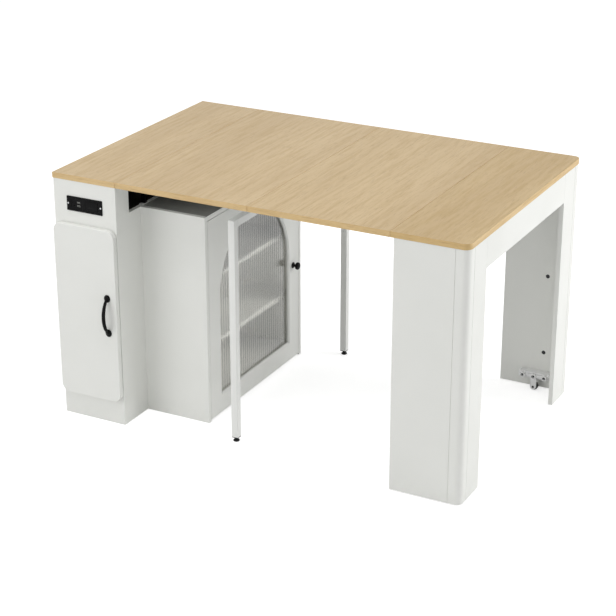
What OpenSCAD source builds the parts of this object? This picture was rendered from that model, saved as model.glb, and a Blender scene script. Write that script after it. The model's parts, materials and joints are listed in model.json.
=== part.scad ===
// Extending kitchen island: a fixed cabinet, two loose leaves and a leg frame that rolls out
// on telescopic rails, with a middle leg frame that follows a third of the way.
// Millimetres. X runs the way the island extends, Y from the door end to the far end, Z up.
// It is drawn extended, from the cabinet's outer corner, and then moved so that the origin
// is on the floor under the middle of everything.

/* [Table top] */
// Height of the table top above the floor
top_h = 900; // [870:5:930]
// Thickness of the four top boards
top_t = 20; // [16:1:24]
// How far the top stands past the cabinet and the legs
top_lip = 2; // [1:0.5:6]
// Width of each loose leaf, along the extension
leaf_w = 506; // [450:2:520]
// Gap between neighbouring top boards
seam = 1; // [0.5:0.5:2]
// Radius of the two rounded corners of the top
top_corner_r = 25; // [20:1:40]

/* [Cabinet boards] */
// Depth of the island from the door end to the far end
depth = 990; // [900:10:1080]
// Thickness of the cabinet and leg boards
board_t = 16; // [12:1:19]
// Width of the end cabinet, along the extension
end_w = 250; // [240:2:280]
// Width of the set-back cabinet body, along the extension
recess_w = 256; // [244:2:280]
// How far the set-back body lies behind the end cabinet's faces
recess_set = 150; // [130:2:180]
// Width of the full-height posts beside the notch
post_w = 79; // [60:1:100]
// Height of the plinth board under the end door
plinth_h = 108; // [90:2:140]
// Height of the board above the end door
fascia_h = 168; // [150:2:180]
// Height of the set-back body's floor above the ground
recess_floor_h = 43; // [30:1:60]
// Width of the pale lip on the front edge of the set-back body's dark top board
top_lip_w = 2; // [1:0.5:6]
// Height of the lower shelf behind the glass
shelf_low_z = 246; // [230:1:320]
// Height of the upper shelf behind the glass
shelf_high_z = 492; // [480:1:560]
// How far the shelves stay back from the doors
shelf_back = 26; // [20:1:60]
// Gap at the ends and edges of a shelf
shelf_gap = 0.5; // [0.2:0.1:1.5]
// Radius of a shelf pin
pin_r = 2.5; // [2:0.5:3.5]
// Length of a shelf pin outside its board
pin_out = 8; // [6:1:12]
// Depth of a shelf pin's hole
pin_in = 8; // [6:1:10]

/* [End door] */
// Thickness of the end door
end_door_t = 18; // [16:1:22]
// Gap between a closed door and the boards behind it
door_gap = 2; // [1:0.5:4]
// How far the end door laps over the plinth, the fascia and past its opening
door_lap = 16; // [10:1:18]
// Gap between the end door's edges and the cabinet's edges
door_inset = 2; // [1:0.5:6]
// Radius of the end door's corners
door_corner_r = 30; // [10:1:45]
// Distance of the handle from the door's opening edge
handle_in = 35; // [28:1:60]
// Height of the middle of the handle
handle_z = 418; // [360:2:480]
// Distance between the handle's screws
handle_pitch = 128; // [96:32:160]
// How far the handle stands out of the door
handle_reach = 35; // [28:1:45]
// Radius of the handle's bar
handle_r = 5; // [4:0.5:6]
// Radius of the handle's round feet
handle_foot_r = 11; // [9:0.5:14]
// Thickness of the handle's round feet
handle_foot_t = 7; // [5:0.5:10]

/* [Glass door] */
// Thickness of the glass door's frame
glass_door_t = 16; // [15:1:20]
// Height of the glass door's lower edge above the floor
glass_door_z = 8; // [5:1:14]
// Gap round the glass door, which closes flush between its boards
glass_gap = 2; // [1:0.5:3]
// Width of the frame on each side of the window
stile_w = 77; // [64:1:100]
// Height of the frame below the window
foot_rail_h = 72; // [60:2:110]
// Height of the frame above the window's arch
head_rail_h = 61; // [50:1:90]
// Width of the bevel round the window
bevel = 5; // [3:0.5:7]
// How far the glass laps behind the frame
glass_lap = 9; // [6:1:14]
// Thickness of the glass over a rib
glass_t = 5; // [4:0.5:6]
// Width of one rib in the glass
flute_w = 15; // [8:0.5:20]
// Depth of the grooves between the ribs
flute_d = 1.6; // [0.8:0.1:2]
// Distance of the knob from the door's opening edge
knob_in = 44; // [30:1:60]
// Height of the knob
knob_z = 385; // [300:5:500]
// Radius of the knob's head
knob_r = 14; // [10:0.5:16]
// How far the knob stands out of the door
knob_reach = 28; // [20:1:32]

/* [Hinges] */
// Radius of a hinge cup
cup_r = 17.5; // [13:0.5:17.5]
// Depth of a hinge cup in the door
cup_d = 11.5; // [10:0.5:12.5]
// Thickness of the cup's flange on the door
flange_t = 1.2; // [0.8:0.1:1.5]
// Distance of the cup's middle from the door's hinge edge
cup_in = 37; // [36:0.5:42]
// Distance of the hinges from the door's lower and upper edges
hinge_end = 100; // [80:5:140]
// Length of the hinge arm behind the opening's edge
arm_l = 62; // [50:1:75]
// Width of the hinge arm
arm_w = 14; // [12:1:18]

/* [Power outlet] */
// Width of the outlet's face plate
plate_w = 143; // [130:1:150]
// Height of the outlet's face plate
plate_h = 52; // [46:1:60]
// Thickness of the outlet's face plate
plate_t = 3; // [2:0.5:4]
// Distance of the plate's middle below the top boards
plate_drop = 81; // [70:1:90]
// Depth of the outlet's box behind the fascia's face
box_d = 48; // [40:1:60]
// Width of the socket in the left half of the plate
socket_w = 46; // [40:1:50]
// Height of the socket
socket_h = 34; // [30:1:38]
// Radius of the bore in the outlet box's power inlet
inlet_bore_r = 4; // [3:0.5:5]

/* [Rails] */
// Gap between the rails and the end cabinet's left side board when the island is closed
rail_room = 24; // [16:1:40]
// Height of each rail
rail_h = 50; // [40:1:54]
// Thickness of each rail
rail_t = 14; // [12:1:16]
// Distance of the outermost rail from the end face
rail_y = 180; // [172:1:200]
// Running gap between parts that slide past each other
run_gap = 0.3; // [0.2:0.1:0.6]
// Height of the neck of a rail's tongue
neck_h = 5; // [4:0.5:7]
// Height of the head of a rail's tongue
head_h = 12; // [10:0.5:16]
// Depth of the head of a rail's tongue
head_t = 3; // [2:0.5:4]
// Length of the neck of a rail's tongue
neck_l = 2; // [1.5:0.5:3]

/* [Middle frame] */
// Side of the square tube
tube = 25; // [20:1:30]
// Wall of the square tube
tube_wall = 1.5; // [1:0.5:3]
// Distance of the tube's left face from the first rail's left end
middle_on_rail = 267; // [240:1:280]
// Distance of the middle legs from the end faces
middle_y = 66; // [62:1:75]
// Distance from the rails' underside down to the cross tube
saddle_h = 18.7; // [12:0.1:24]
// Length of the saddle under each rail
saddle_l = 60; // [40:2:80]
// Height of the glide under each leg
glide_h = 18; // [12:1:24]
// Gap between the cross tube and the rim of the set-back body that it passes over
tube_clear = 17; // [10:1:26]

/* [Leg frame] */
// How far the leg frame stands past the glass door when it is closed
leg_reach = 10; // [4:1:20]
// How far the leg boards lie behind the edge of their top
leg_back = 12; // [4:1:20]
// Gap between the closed leg frame and the set-back body
pass_gap = 4; // [3:0.5:8]
// Width of a leg's corner post
leg_corner_w = 45; // [40:1:60]
// Radius of a corner post's outer edge
leg_corner_r = 23; // [18:1:36]
// Width of the groove beside a corner post
groove = 1.5; // [0.5:0.5:3]
// Gap between the leg boards and the floor
leg_clear = 4; // [2:0.5:8]
// Gap between the apron and the rim that it passes over
apron_clear = 6; // [4:1:10]

/* [Casters] */
// Radius of a caster wheel
wheel_r = 15; // [12:0.5:18]
// Width of a caster wheel
wheel_w = 16; // [12:1:20]
// Length of a caster's bracket
caster_l = 120; // [110:2:124]
// How far a caster's bracket stands in from the leg board
caster_d = 44; // [40:1:46]
// Height of a caster's bracket block
caster_h = 24; // [22:1:28]
// Radius of a caster's axle
axle_r = 3; // [2:0.5:4]
// Running clearance of the wheel on its axle
axle_gap = 0.06; // [0.02:0.01:0.1]
// Distance of the outer screws from the ends of a caster's bracket
caster_screw_in = 18; // [12:1:22]
// Distance of a caster's bracket from the leg's corner post
caster_in = 5; // [3:1:16]

/* [Hidden] */
$fn = 64;
arch_fn = 128;
corner_fn = 96;
// A hair's breadth that joins shapes of one piece, and how far a cut runs past its faces
eps = 0.01;
cut = 1;

// Heights
carcass_h = top_h - top_t;
fascia_z = carcass_h - fascia_h;
rails_z = carcass_h - run_gap - rail_h;
fixed_rails_z = rails_z - run_gap;
crossbar_top = rails_z - saddle_h;
rim_h = crossbar_top - tube - tube_clear;
recess_top_z = rim_h - board_t;
apron_z = rim_h + apron_clear;

// Places along X
inner_x = end_w - board_t;
recess_x = end_w + recess_w;
glass_face_x = recess_x;
glass_back_x = glass_face_x - glass_door_t;
recess_in_x = glass_back_x - door_gap;
travel = 2 * (leaf_w + seam);
leg_top_x = end_w + seam + travel;
leg_x0 = leg_top_x + leg_back;
leg_x1 = glass_face_x + leg_reach + travel;
leg_inner_x = leg_x1 - board_t;
corner_x = leg_x1 - leg_corner_w;
rail_home_x = board_t + rail_room;
rail_l = leg_inner_x - travel - rail_home_x;
middle_x = rail_home_x + travel / 3 + middle_on_rail;

// Places along Y
recess_y0 = recess_set;
recess_y1 = depth - recess_set;
recess_in_y0 = recess_y0 + board_t;
recess_in_y1 = recess_y1 - board_t;
glass_y0 = recess_in_y0 + glass_gap;
glass_y1 = recess_in_y1 - glass_gap;
narrow_y = recess_set - pass_gap;
end_door_back = -door_gap;
end_door_face = -door_gap - end_door_t;

// The middle of the whole footprint
middle_of_x = leg_x1 / 2;
middle_of_y = (depth + top_lip + end_door_face - handle_reach) / 2;

// Colours
WHITE = [0.90, 0.90, 0.89];
DARK_GREY = [0.30, 0.30, 0.30];
OAK = [0.80, 0.70, 0.54];
BLACK = [0.10, 0.10, 0.10];
STEEL = [0.72, 0.73, 0.74];
GREY = [0.55, 0.55, 0.56];
PALE_GLASS = [0.80, 0.84, 0.84, 0.6];

// Shared shapes

// Everything is drawn from the cabinet's outer corner and placed by the footprint's middle
module placed() translate([-middle_of_x, -middle_of_y, 0]) children();

// The same thing mirrored to the far end
module far_end() translate([0, depth, 0]) mirror([0, 1, 0]) children();

module both_ends() {
    children();
    far_end() children();
}

// A board given by its lowest and highest corners
module board(low, high) translate(low) cube(high - low);

// A round bar along X, and one along Y
module bar_x(r, y, z, x0, x1) translate([x0, y, z]) rotate([0, 90, 0]) cylinder(r = r, h = x1 - x0);
module bar_y(r, x, z, y0, y1) translate([x, y0, z]) rotate([-90, 0, 0]) cylinder(r = r, h = y1 - y0);

// An outline in X and Z that fills from y0 to y1, and one in Y and Z that fills from x0 to x1
module standing_xz(y0, y1) translate([0, y1, 0]) rotate([90, 0, 0]) linear_extrude(y1 - y0) children();
module standing_yz(x0, x1) translate([x0, 0, 0]) rotate([90, 0, 90]) linear_extrude(x1 - x0) children();

// A rectangle from low to high with round corners
module rounded(low, high, r) {
    translate([low.x + r, low.y]) square([high.x - low.x - 2 * r, high.y - low.y]);
    translate([low.x, low.y + r]) square([high.x - low.x, high.y - low.y - 2 * r]);
    for (x = [low.x + r, high.x - r], y = [low.y + r, high.y - r]) translate([x, y]) circle(r);
}

// Screws

screw_r = 2;
screw_fit = 0.05;
screw_head_r = 3.8;
screw_head_t = 2.4;
hex_r = 1.6;
hex_d = 1.4;
screw_bore_r = screw_r + screw_fit;

// A screw with the seat of its head at the origin, its shaft along +Z and its head along -Z
module screw(l) {
    translate([0, 0, -eps]) cylinder(r = screw_r, h = l + eps);
    translate([0, 0, -screw_head_t]) difference() {
        cylinder(r = screw_head_r, h = screw_head_t);
        translate([0, 0, -cut]) cylinder(r = hex_r, h = hex_d + cut, $fn = 6);
    }
}

// Shelves and their pins

pin_edge = 40;
pin_bore_r = pin_r + screw_fit;
end_shelf_y0 = board_t + shelf_back;
end_shelf_y1 = depth - board_t - shelf_gap;
end_space = fascia_z - plinth_h;
end_shelf_zs = [plinth_h + end_space / 3, plinth_h + 2 * end_space / 3];
end_pin_ys = [end_shelf_y0 + pin_edge, end_shelf_y1 - pin_edge];
recess_shelf_x1 = recess_in_x - shelf_back;
recess_shelf_zs = [shelf_low_z, shelf_high_z];
recess_pin_xs = [end_w + pin_edge, recess_shelf_x1 - pin_edge];

module end_pins(r, x0, x1) for (z = end_shelf_zs, y = end_pin_ys) bar_x(r, y, z - pin_r, x0, x1);
module recess_pins(r, y0, y1) for (z = recess_shelf_zs, x = recess_pin_xs) bar_y(r, x, z - pin_r, y0, y1);

module end_shelf(z)
    board([board_t + shelf_gap, end_shelf_y0, z], [inner_x - shelf_gap, end_shelf_y1, z + board_t]);

module recess_shelf(z)
    board([end_w, recess_in_y0 + shelf_gap, z], [recess_shelf_x1, recess_in_y1 - shelf_gap, z + board_t]);

module end_shelf_lower() color(WHITE) placed() end_shelf(end_shelf_zs[0]);
module end_shelf_upper() color(WHITE) placed() end_shelf(end_shelf_zs[1]);
module recess_shelf_lower() color(WHITE) placed() recess_shelf(shelf_low_z);
module recess_shelf_upper() color(WHITE) placed() recess_shelf(shelf_high_z);

module shelf_pins() color(STEEL) placed() {
    end_pins(pin_r, board_t - pin_in, board_t + pin_out);
    end_pins(pin_r, inner_x - pin_out, inner_x + pin_in);
    both_ends() recess_pins(pin_r, recess_in_y0 - pin_in, recess_in_y0 + pin_out);
}

// Hinges. Each has a cup in the door and an arm on the board beside the opening. Both are drawn
// with the door's inner face at Y = 0 and the board's face at X = 0, the opening towards +X

arm_plate_t = 3;
arm_t = 12;
arm_gap = 0.3;
arm_plate_in = 6;
arm_plate_edge = 4;
flange_w = 25;
flange_edge = 8;
flange_corner_r = 5;
hinge_screw_in = 37;
hinge_screw_l = 9;
cup_bore_r = cup_r + screw_fit;
cup_edge = 4.5;
end_cup_x = cup_in - board_t;
glass_cup_x = glass_gap + cup_edge + cup_r;
end_door_x0 = door_inset;
end_door_x1 = end_w - door_inset;
end_door_z0 = plinth_h - door_lap;
end_door_z1 = fascia_z + door_lap;
glass_door_z1 = recess_top_z - glass_gap;
end_hinge_zs = [end_door_z0 + hinge_end, end_door_z1 - hinge_end];
glass_hinge_zs = [glass_door_z + hinge_end, glass_door_z1 - hinge_end];

// The same drawing at each of a door's hinges
module at_end_hinges() for (z = end_hinge_zs) translate([board_t, end_door_back, z]) children();
module at_glass_hinges()
    for (z = glass_hinge_zs) translate([glass_back_x, recess_in_y0, z]) rotate([0, 0, 90]) children();

module hinge_cup() {
    translate([0, eps, 0]) rotate([90, 0, 0]) cylinder(r = cup_r, h = cup_d + eps);
    standing_xz(0, flange_t) rounded(
        [-flange_w / 2, -cup_r - flange_edge], [flange_w / 2, cup_r + flange_edge], flange_corner_r);
}

module hinge_screw_bores() for (side = [-1, 1])
    bar_x(screw_bore_r, door_gap + hinge_screw_in, side * arm_w, -hinge_screw_l - cut, arm_plate_t + cut);

module hinge_arm() {
    arm_end = door_gap + arm_l;
    difference() {
        union() {
            board([0, door_gap + arm_plate_in, -arm_w - arm_plate_edge],
                [arm_plate_t, arm_end, arm_w + arm_plate_edge]);
            board([0, flange_t + arm_gap, -arm_w / 2], [arm_t, arm_end - arm_plate_in, arm_w / 2]);
        }
        hinge_screw_bores();
    }
    for (side = [-1, 1]) translate([arm_plate_t, door_gap + hinge_screw_in, side * arm_w])
        rotate([0, -90, 0]) screw(arm_plate_t + hinge_screw_l);
}

module hinge_arms() color(STEEL) placed() {
    at_end_hinges() hinge_arm();
    at_glass_hinges() hinge_arm();
}

// End cabinet

// What the plinth and the fascia take out of the two sides
module front_rebates() {
    board([-cut, -cut, -cut], [end_w + cut, board_t, plinth_h]);
    board([-cut, -cut, fascia_z], [end_w + cut, board_t, carcass_h + cut]);
}

module end_left_side() color(WHITE) placed() difference() {
    board([0, 0, 0], [board_t, depth - board_t, carcass_h]);
    front_rebates();
    end_pins(pin_bore_r, board_t - pin_in, board_t + cut);
    at_end_hinges() hinge_screw_bores();
}

module end_inner_side() color(WHITE) placed() difference() {
    board([inner_x, 0, 0], [end_w, depth - board_t, carcass_h]);
    front_rebates();
    board([inner_x - cut, post_w, rim_h], [end_w + cut, depth - post_w, carcass_h + cut]);
    end_pins(pin_bore_r, inner_x - cut, inner_x + pin_in);
}

module plinth_rail() color(WHITE) placed() board([0, 0, 0], [end_w, board_t, plinth_h]);

// The supply cord comes in through the far panel, in line with the inlet of the outlet's box
module far_end_panel() color(WHITE) placed() difference() {
    board([0, depth - board_t, 0], [end_w, depth, carcass_h]);
    bar_y(inlet_bore_r, outlet_x, outlet_z, depth - board_t - cut, depth + cut);
}

module end_bottom() color(WHITE) placed()
    board([board_t, board_t, plinth_h - board_t], [inner_x, depth - board_t, plinth_h]);

module end_ceiling() color(WHITE) placed()
    board([board_t, board_t, fascia_z], [inner_x, depth - board_t, fascia_z + board_t]);

module fixed_top() color(OAK) placed()
    board([-top_lip, -top_lip, carcass_h], [end_w, depth + top_lip, top_h]);

// Set-back body

module recess_side() difference() {
    board([end_w, recess_y0, 0], [recess_x, recess_in_y0, rim_h]);
    recess_pins(pin_bore_r, recess_in_y0 - pin_in, recess_in_y0 + cut);
}

module recess_front_panel() color(WHITE) placed() difference() {
    recess_side();
    at_glass_hinges() hinge_screw_bores();
}

module recess_back_panel() color(WHITE) placed() far_end() recess_side();

module recess_bottom() color(WHITE) placed()
    board([end_w, recess_in_y0, recess_floor_h - board_t], [recess_in_x, recess_in_y1, recess_floor_h]);

module recess_toe_board() color(WHITE) placed()
    board([recess_in_x - board_t, recess_in_y0, 0],
        [recess_in_x, recess_in_y1, recess_floor_h - board_t]);

module recess_top() color(DARK_GREY) placed()
    board([end_w, recess_in_y0, recess_top_z], [recess_x - top_lip_w, recess_in_y1, rim_h]);

module recess_top_lip() color(WHITE) placed()
    board([recess_x - top_lip_w, recess_in_y0, recess_top_z], [recess_x, recess_in_y1, rim_h]);

// Power outlet, drawn from its middle on the fascia's face

outlet_x = end_w / 2;
outlet_z = carcass_h - plate_drop;
box_wall = 2;
box_gap = 0.5;
half_in = 4;
half_x = plate_w / 4 - half_in;
socket_sink = 1;
socket_back = 8;
socket_flange = 1;
box_rim = socket_flange + box_gap + box_wall;
box_w = 2 * half_x + socket_w + 2 * box_rim;
box_h = socket_h + 2 * box_rim;
plate_corner_r = 4;
plate_screw_x = (plate_w + box_w) / 4;
plate_screw_l = 14;
cover_step = 1;
slot_l = 7;
slot_w = 2.2;
slot_x = 5;
slot_z = 6.4;
slot_d = 6;
earth_r = 2.4;
earth_x = -7;
inlet_wall = 4;
inlet_r = inlet_bore_r + inlet_wall;
inlet_l = 14;

module at_outlet() translate([outlet_x, 0, outlet_z]) children();

module plate_screw_bores(l) for (side = [-1, 1])
    bar_y(screw_bore_r, side * plate_screw_x, 0, -plate_t - cut, l);

// The outline of the socket on the left, grown all round, or of the plain cover on the right
module half_outline(x, grow) {
    half = [socket_w / 2 + grow, socket_h / 2 + grow];
    rounded([x - half.x, -half.y], [x + half.x, half.y], plate_corner_r);
}

module outlet_fascia() color(WHITE) placed() difference() {
    board([0, 0, fascia_z], [end_w, board_t, carcass_h]);
    at_outlet() board([-box_w / 2 - box_gap, -cut, -box_h / 2 - box_gap],
        [box_w / 2 + box_gap, board_t + cut, box_h / 2 + box_gap]);
    at_outlet() plate_screw_bores(plate_screw_l);
}

module outlet_plate() color(BLACK) placed() at_outlet() difference() {
    union() {
        standing_xz(-plate_t, 0)
            rounded([-plate_w / 2, -plate_h / 2], [plate_w / 2, plate_h / 2], plate_corner_r);
        standing_xz(-plate_t - cover_step, -plate_t + eps) half_outline(half_x, 0);
    }
    standing_xz(-plate_t - cut, cut) half_outline(-half_x, 0);
    plate_screw_bores(cut);
}

module socket_insert() color(BLACK) placed() at_outlet() difference() {
    union() {
        standing_xz(-plate_t + socket_sink, eps) half_outline(-half_x, 0);
        standing_xz(0, socket_back) half_outline(-half_x, socket_flange);
    }
    for (side = [-1, 1]) translate([slot_x - half_x, 0, side * slot_z])
        board([-slot_l / 2, -plate_t, -slot_w / 2], [slot_l / 2, slot_d, slot_w / 2]);
    bar_y(earth_r, earth_x - half_x, 0, -plate_t, slot_d);
}

module outlet_housing() color(BLACK) placed() at_outlet() difference() {
    union() {
        board([-box_w / 2, 0, -box_h / 2], [box_w / 2, box_d, box_h / 2]);
        bar_y(inlet_r, 0, 0, box_d - eps, box_d + inlet_l);
    }
    board([box_wall - box_w / 2, -cut, box_wall - box_h / 2],
        [box_w / 2 - box_wall, box_d - box_wall, box_h / 2 - box_wall]);
    bar_y(inlet_bore_r, 0, 0, box_d - box_wall - cut, box_d + inlet_l + cut);
}

module outlet_screws() color(STEEL) placed() at_outlet() for (side = [-1, 1])
    translate([side * plate_screw_x, -plate_t, 0]) rotate([-90, 0, 0]) screw(plate_t + plate_screw_l - cut);

// Rails. Four stages lie side by side, each with a tongue in its neighbour's slot

rail_step = rail_t + run_gap;
fixed_rail_in = 4;
bearer_w = 30;
bearer_h = 40;
bracket_foot_t = 3;
bracket_foot_w = 40;

// A rail's section, Y across and Z up, its tongue on the outer side and its slot on the inner
module rail_section(h, tongue, slot) {
    mid = h - rail_h / 2;
    difference() {
        square([rail_t, h]);
        if (slot) translate([rail_t, mid]) {
            translate([-neck_l, -neck_h / 2 - run_gap]) square([neck_l + cut, neck_h + 2 * run_gap]);
            translate([-neck_l - head_t - run_gap, -head_h / 2 - run_gap])
                square([head_t + 2 * run_gap, head_h + 2 * run_gap]);
        }
    }
    if (tongue) translate([-run_gap - neck_l, mid]) {
        translate([-eps, -neck_h / 2]) square([neck_l + run_gap + 2 * eps, neck_h]);
        translate([-head_t, -head_h / 2]) square([head_t, head_h]);
    }
}

// The two rails of one stage, counted inwards from the end faces
module rail_pair(stage, x, h, tongue, slot) both_ends()
    translate([0, rail_y + stage * rail_step, carcass_h - run_gap - h])
        standing_yz(x, x + rail_l) rail_section(h, tongue, slot);

module fixed_rails() color(STEEL) placed()
    rail_pair(0, board_t + fixed_rail_in, rail_h + run_gap, false, true);
module first_rails() color(STEEL) placed() rail_pair(1, rail_home_x + travel / 3, rail_h, true, true);
module second_rails() color(STEEL) placed() rail_pair(2, rail_home_x + 2 * travel / 3, rail_h, true, true);
module leg_rails() color(STEEL) placed() rail_pair(3, rail_home_x + travel, rail_h, true, false);

module rail_bearer() color(OAK) placed()
    board([board_t, board_t, fixed_rails_z - bearer_h], [board_t + bearer_w, depth - board_t, fixed_rails_z]);

module rail_brackets() color(BLACK) placed() both_ends() {
    rail_mid_y = rail_y + rail_t / 2;
    board([inner_x, rail_mid_y - bracket_foot_w / 2, rim_h],
        [end_w, rail_mid_y + bracket_foot_w / 2, rim_h + bracket_foot_t]);
    board([inner_x, rail_y, rim_h], [end_w, rail_y + rail_t, fixed_rails_z]);
}

// End door and its handle

handle_x = end_door_x1 - handle_in;
handle_zs = [handle_z - handle_pitch / 2, handle_z + handle_pitch / 2];
handle_sink = 2;
handle_rise = handle_reach - handle_r - handle_foot_t + handle_sink;
bow_r = (pow(handle_pitch / 2, 2) + pow(handle_rise, 2)) / (2 * handle_rise);
bow_angle = asin(handle_pitch / 2 / bow_r);
handle_screw_end = 1;
handle_screw_l = end_door_t + handle_foot_t - handle_screw_end;

module at_handle_feet() for (z = handle_zs) translate([handle_x, 0, z]) children();

module end_door() color(WHITE) placed() difference() {
    standing_xz(end_door_face, end_door_back)
        rounded([end_door_x0, end_door_z0], [end_door_x1, end_door_z1], door_corner_r);
    at_end_hinges() translate([end_door_x0 + end_cup_x, cut, 0])
        rotate([90, 0, 0]) cylinder(r = cup_bore_r, h = cup_d + cut);
    at_handle_feet() bar_y(screw_bore_r, 0, 0, end_door_face - cut, end_door_back + cut);
}

module end_hinge_cups() color(STEEL) placed()
    at_end_hinges() translate([end_door_x0 + end_cup_x, 0, 0]) hinge_cup();

module bow_handle() color(BLACK) placed() difference() {
    union() {
        at_handle_feet() bar_y(handle_foot_r, 0, 0, end_door_face - handle_foot_t, end_door_face);
        translate([handle_x, end_door_face - handle_reach + handle_r + bow_r, handle_z])
            rotate([0, 90, 0]) rotate([0, 0, -90 - bow_angle])
                rotate_extrude(angle = 2 * bow_angle) translate([bow_r, 0]) circle(handle_r);
    }
    at_handle_feet() bar_y(screw_bore_r, 0, 0, end_door_back - handle_screw_l, end_door_face + cut);
}

module handle_screws() color(STEEL) placed()
    at_handle_feet() translate([0, end_door_back, 0]) rotate([90, 0, 0]) screw(handle_screw_l);

// Glass door. The window's outline is drawn in Y and Z

window_y = depth / 2;
window_w = glass_y1 - glass_y0 - 2 * stile_w;
window_z = glass_door_z + foot_rail_h;
arch_z = glass_door_z1 - head_rail_h - window_w / 2;
flute_steps = 5;
flute_n = ceil((window_w + 2 * glass_lap) / flute_w);
glass_fit = 0.5;
clip_w = 24;
clip_h = 14;
clip_t = 1.2;
clip_in = 5;
knob_y = glass_y1 - knob_in;
knob_base_in = 2.6;
knob_base_r = knob_r - knob_base_in;
knob_base_t = 3;
knob_neck_r = 5.8;
knob_head_t = 12;
knob_round = 4;
knob_screw_d = 8;

module window_outline(grow) {
    half = window_w / 2 + grow;
    translate([window_y - half, window_z - grow]) square([2 * half, arch_z - window_z + grow]);
    translate([window_y, arch_z]) circle(half, $fn = arch_fn);
}

// What the bevel takes out of the frame's face
module bevel_cut() {
    half = window_w / 2;
    past = bevel + cut;
    back_x = glass_face_x - bevel;
    front_x = glass_face_x + cut;
    intersection() {
        translate([0, window_y, 0]) linear_extrude(arch_z)
            polygon([[back_x, -half], [front_x, -half - past], [front_x, half + past], [back_x, half]]);
        standing_xz(window_y - half - 2 * past, window_y + half + 2 * past)
            polygon([[back_x, window_z], [front_x, window_z - past], [front_x, arch_z], [back_x, arch_z]]);
    }
    translate([back_x, window_y, arch_z]) rotate([0, 90, 0])
        cylinder(r1 = half, r2 = half + past, h = past, $fn = arch_fn);
}

module glass_door() color(WHITE) placed() difference() {
    board([glass_back_x, glass_y0, glass_door_z], [glass_face_x, glass_y1, glass_door_z1]);
    standing_yz(glass_back_x - cut, glass_face_x + cut) window_outline(0);
    standing_yz(glass_back_x - cut, glass_back_x + glass_t) window_outline(glass_lap);
    bevel_cut();
    at_glass_hinges() translate([glass_cup_x, cut, 0])
        rotate([90, 0, 0]) cylinder(r = cup_bore_r, h = cup_d + cut);
    bar_x(screw_bore_r, knob_y, knob_z, glass_back_x - cut, glass_face_x + cut);
}

// The pane's section from above: a flat back and round ribs on the face
module ribbed_section() {
    half = flute_n * flute_w / 2;
    ribs = [for (i = [0:flute_n - 1], k = [0:flute_steps - 1]) let (t = k / flute_steps)
        [glass_back_x + glass_t - flute_d * (1 - sin(180 * t)), window_y - half + flute_w * (i + t)]];
    polygon(concat([[glass_back_x, window_y - half]], ribs,
        [[glass_back_x + glass_t - flute_d, window_y + half], [glass_back_x, window_y + half]]));
}

module fluted_glass() color(PALE_GLASS) placed() intersection() {
    linear_extrude(rim_h) ribbed_section();
    standing_yz(glass_back_x - cut, glass_face_x) window_outline(glass_lap - glass_fit);
}

// The clips lie round the pane, each half on the glass and half on the frame
module glazing_clips() color(STEEL) placed() {
    half = window_w / 2 + glass_lap;
    for (side = [-1, 1], z = [window_z + clip_w, arch_z])
        translate([glass_back_x, window_y + side * half, z])
            board([-clip_t, -clip_h / 2, -clip_w / 2], [0, clip_h / 2, clip_w / 2]);
    for (y = [-half / 2, half / 2]) translate([glass_back_x, window_y + y, window_z - glass_lap])
        board([-clip_t, -clip_w / 2, -clip_in], [0, clip_w / 2, clip_h - clip_in]);
    translate([glass_back_x, window_y, arch_z + half])
        board([-clip_t, -clip_w / 2, -clip_h / 2], [0, clip_w / 2, clip_h / 2]);
}

module door_knob() color(BLACK) placed() translate([glass_face_x, knob_y, knob_z]) rotate([0, 90, 0])
    difference() {
        rotate_extrude() {
            square([knob_base_r, knob_base_t]);
            square([knob_neck_r, knob_reach - knob_head_t + knob_round]);
            translate([0, knob_reach - knob_head_t]) {
                square([knob_r - knob_round, knob_head_t]);
                translate([0, knob_round]) square([knob_r, knob_head_t - 2 * knob_round]);
                for (v = [knob_round, knob_head_t - knob_round]) intersection() {
                    translate([knob_r - knob_round, v]) circle(knob_round);
                    square([knob_r, knob_head_t]);
                }
            }
        }
        translate([0, 0, -cut]) cylinder(r = screw_bore_r, h = knob_screw_d + cut);
    }

module knob_screw() color(STEEL) placed()
    translate([glass_back_x, knob_y, knob_z]) rotate([0, 90, 0]) screw(glass_door_t + knob_screw_d);

module glass_hinge_cups() color(STEEL) placed()
    at_glass_hinges() translate([glass_cup_x, 0, 0]) hinge_cup();

// Middle frame

glide_foot_r = 11;
glide_foot_h = 6;
glide_neck_r = 5;
glide_collar_h = 3;
glide_plug_h = 15;
glide_fit = 0.2;
saddle_plate_t = 3;
saddle_plate_w = 40;

module middle_leg() difference() {
    board([middle_x, middle_y, glide_h], [middle_x + tube, middle_y + tube, crossbar_top]);
    board([middle_x + tube_wall, middle_y + tube_wall, 0],
        [middle_x + tube - tube_wall, middle_y + tube - tube_wall, crossbar_top - tube_wall]);
}

module middle_leg_near() color(WHITE) placed() middle_leg();
module middle_leg_far() color(WHITE) placed() far_end() middle_leg();

module middle_crossbar() color(WHITE) placed() difference() {
    board([middle_x, middle_y + tube, crossbar_top - tube],
        [middle_x + tube, depth - middle_y - tube, crossbar_top]);
    board([middle_x + tube_wall, middle_y, crossbar_top - tube + tube_wall],
        [middle_x + tube - tube_wall, depth - middle_y, crossbar_top - tube_wall]);
}

module middle_glides() color(BLACK) placed() both_ends()
translate([middle_x + tube / 2, middle_y + tube / 2, 0]) {
    plug = tube / 2 - tube_wall - glide_fit;
    cylinder(r = glide_foot_r, h = glide_foot_h);
    cylinder(r = glide_neck_r, h = glide_h);
    board([-tube / 2, -tube / 2, glide_h - glide_collar_h], [tube / 2, tube / 2, glide_h]);
    board([-plug, -plug, glide_h - eps], [plug, plug, glide_h + glide_plug_h]);
}

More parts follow.
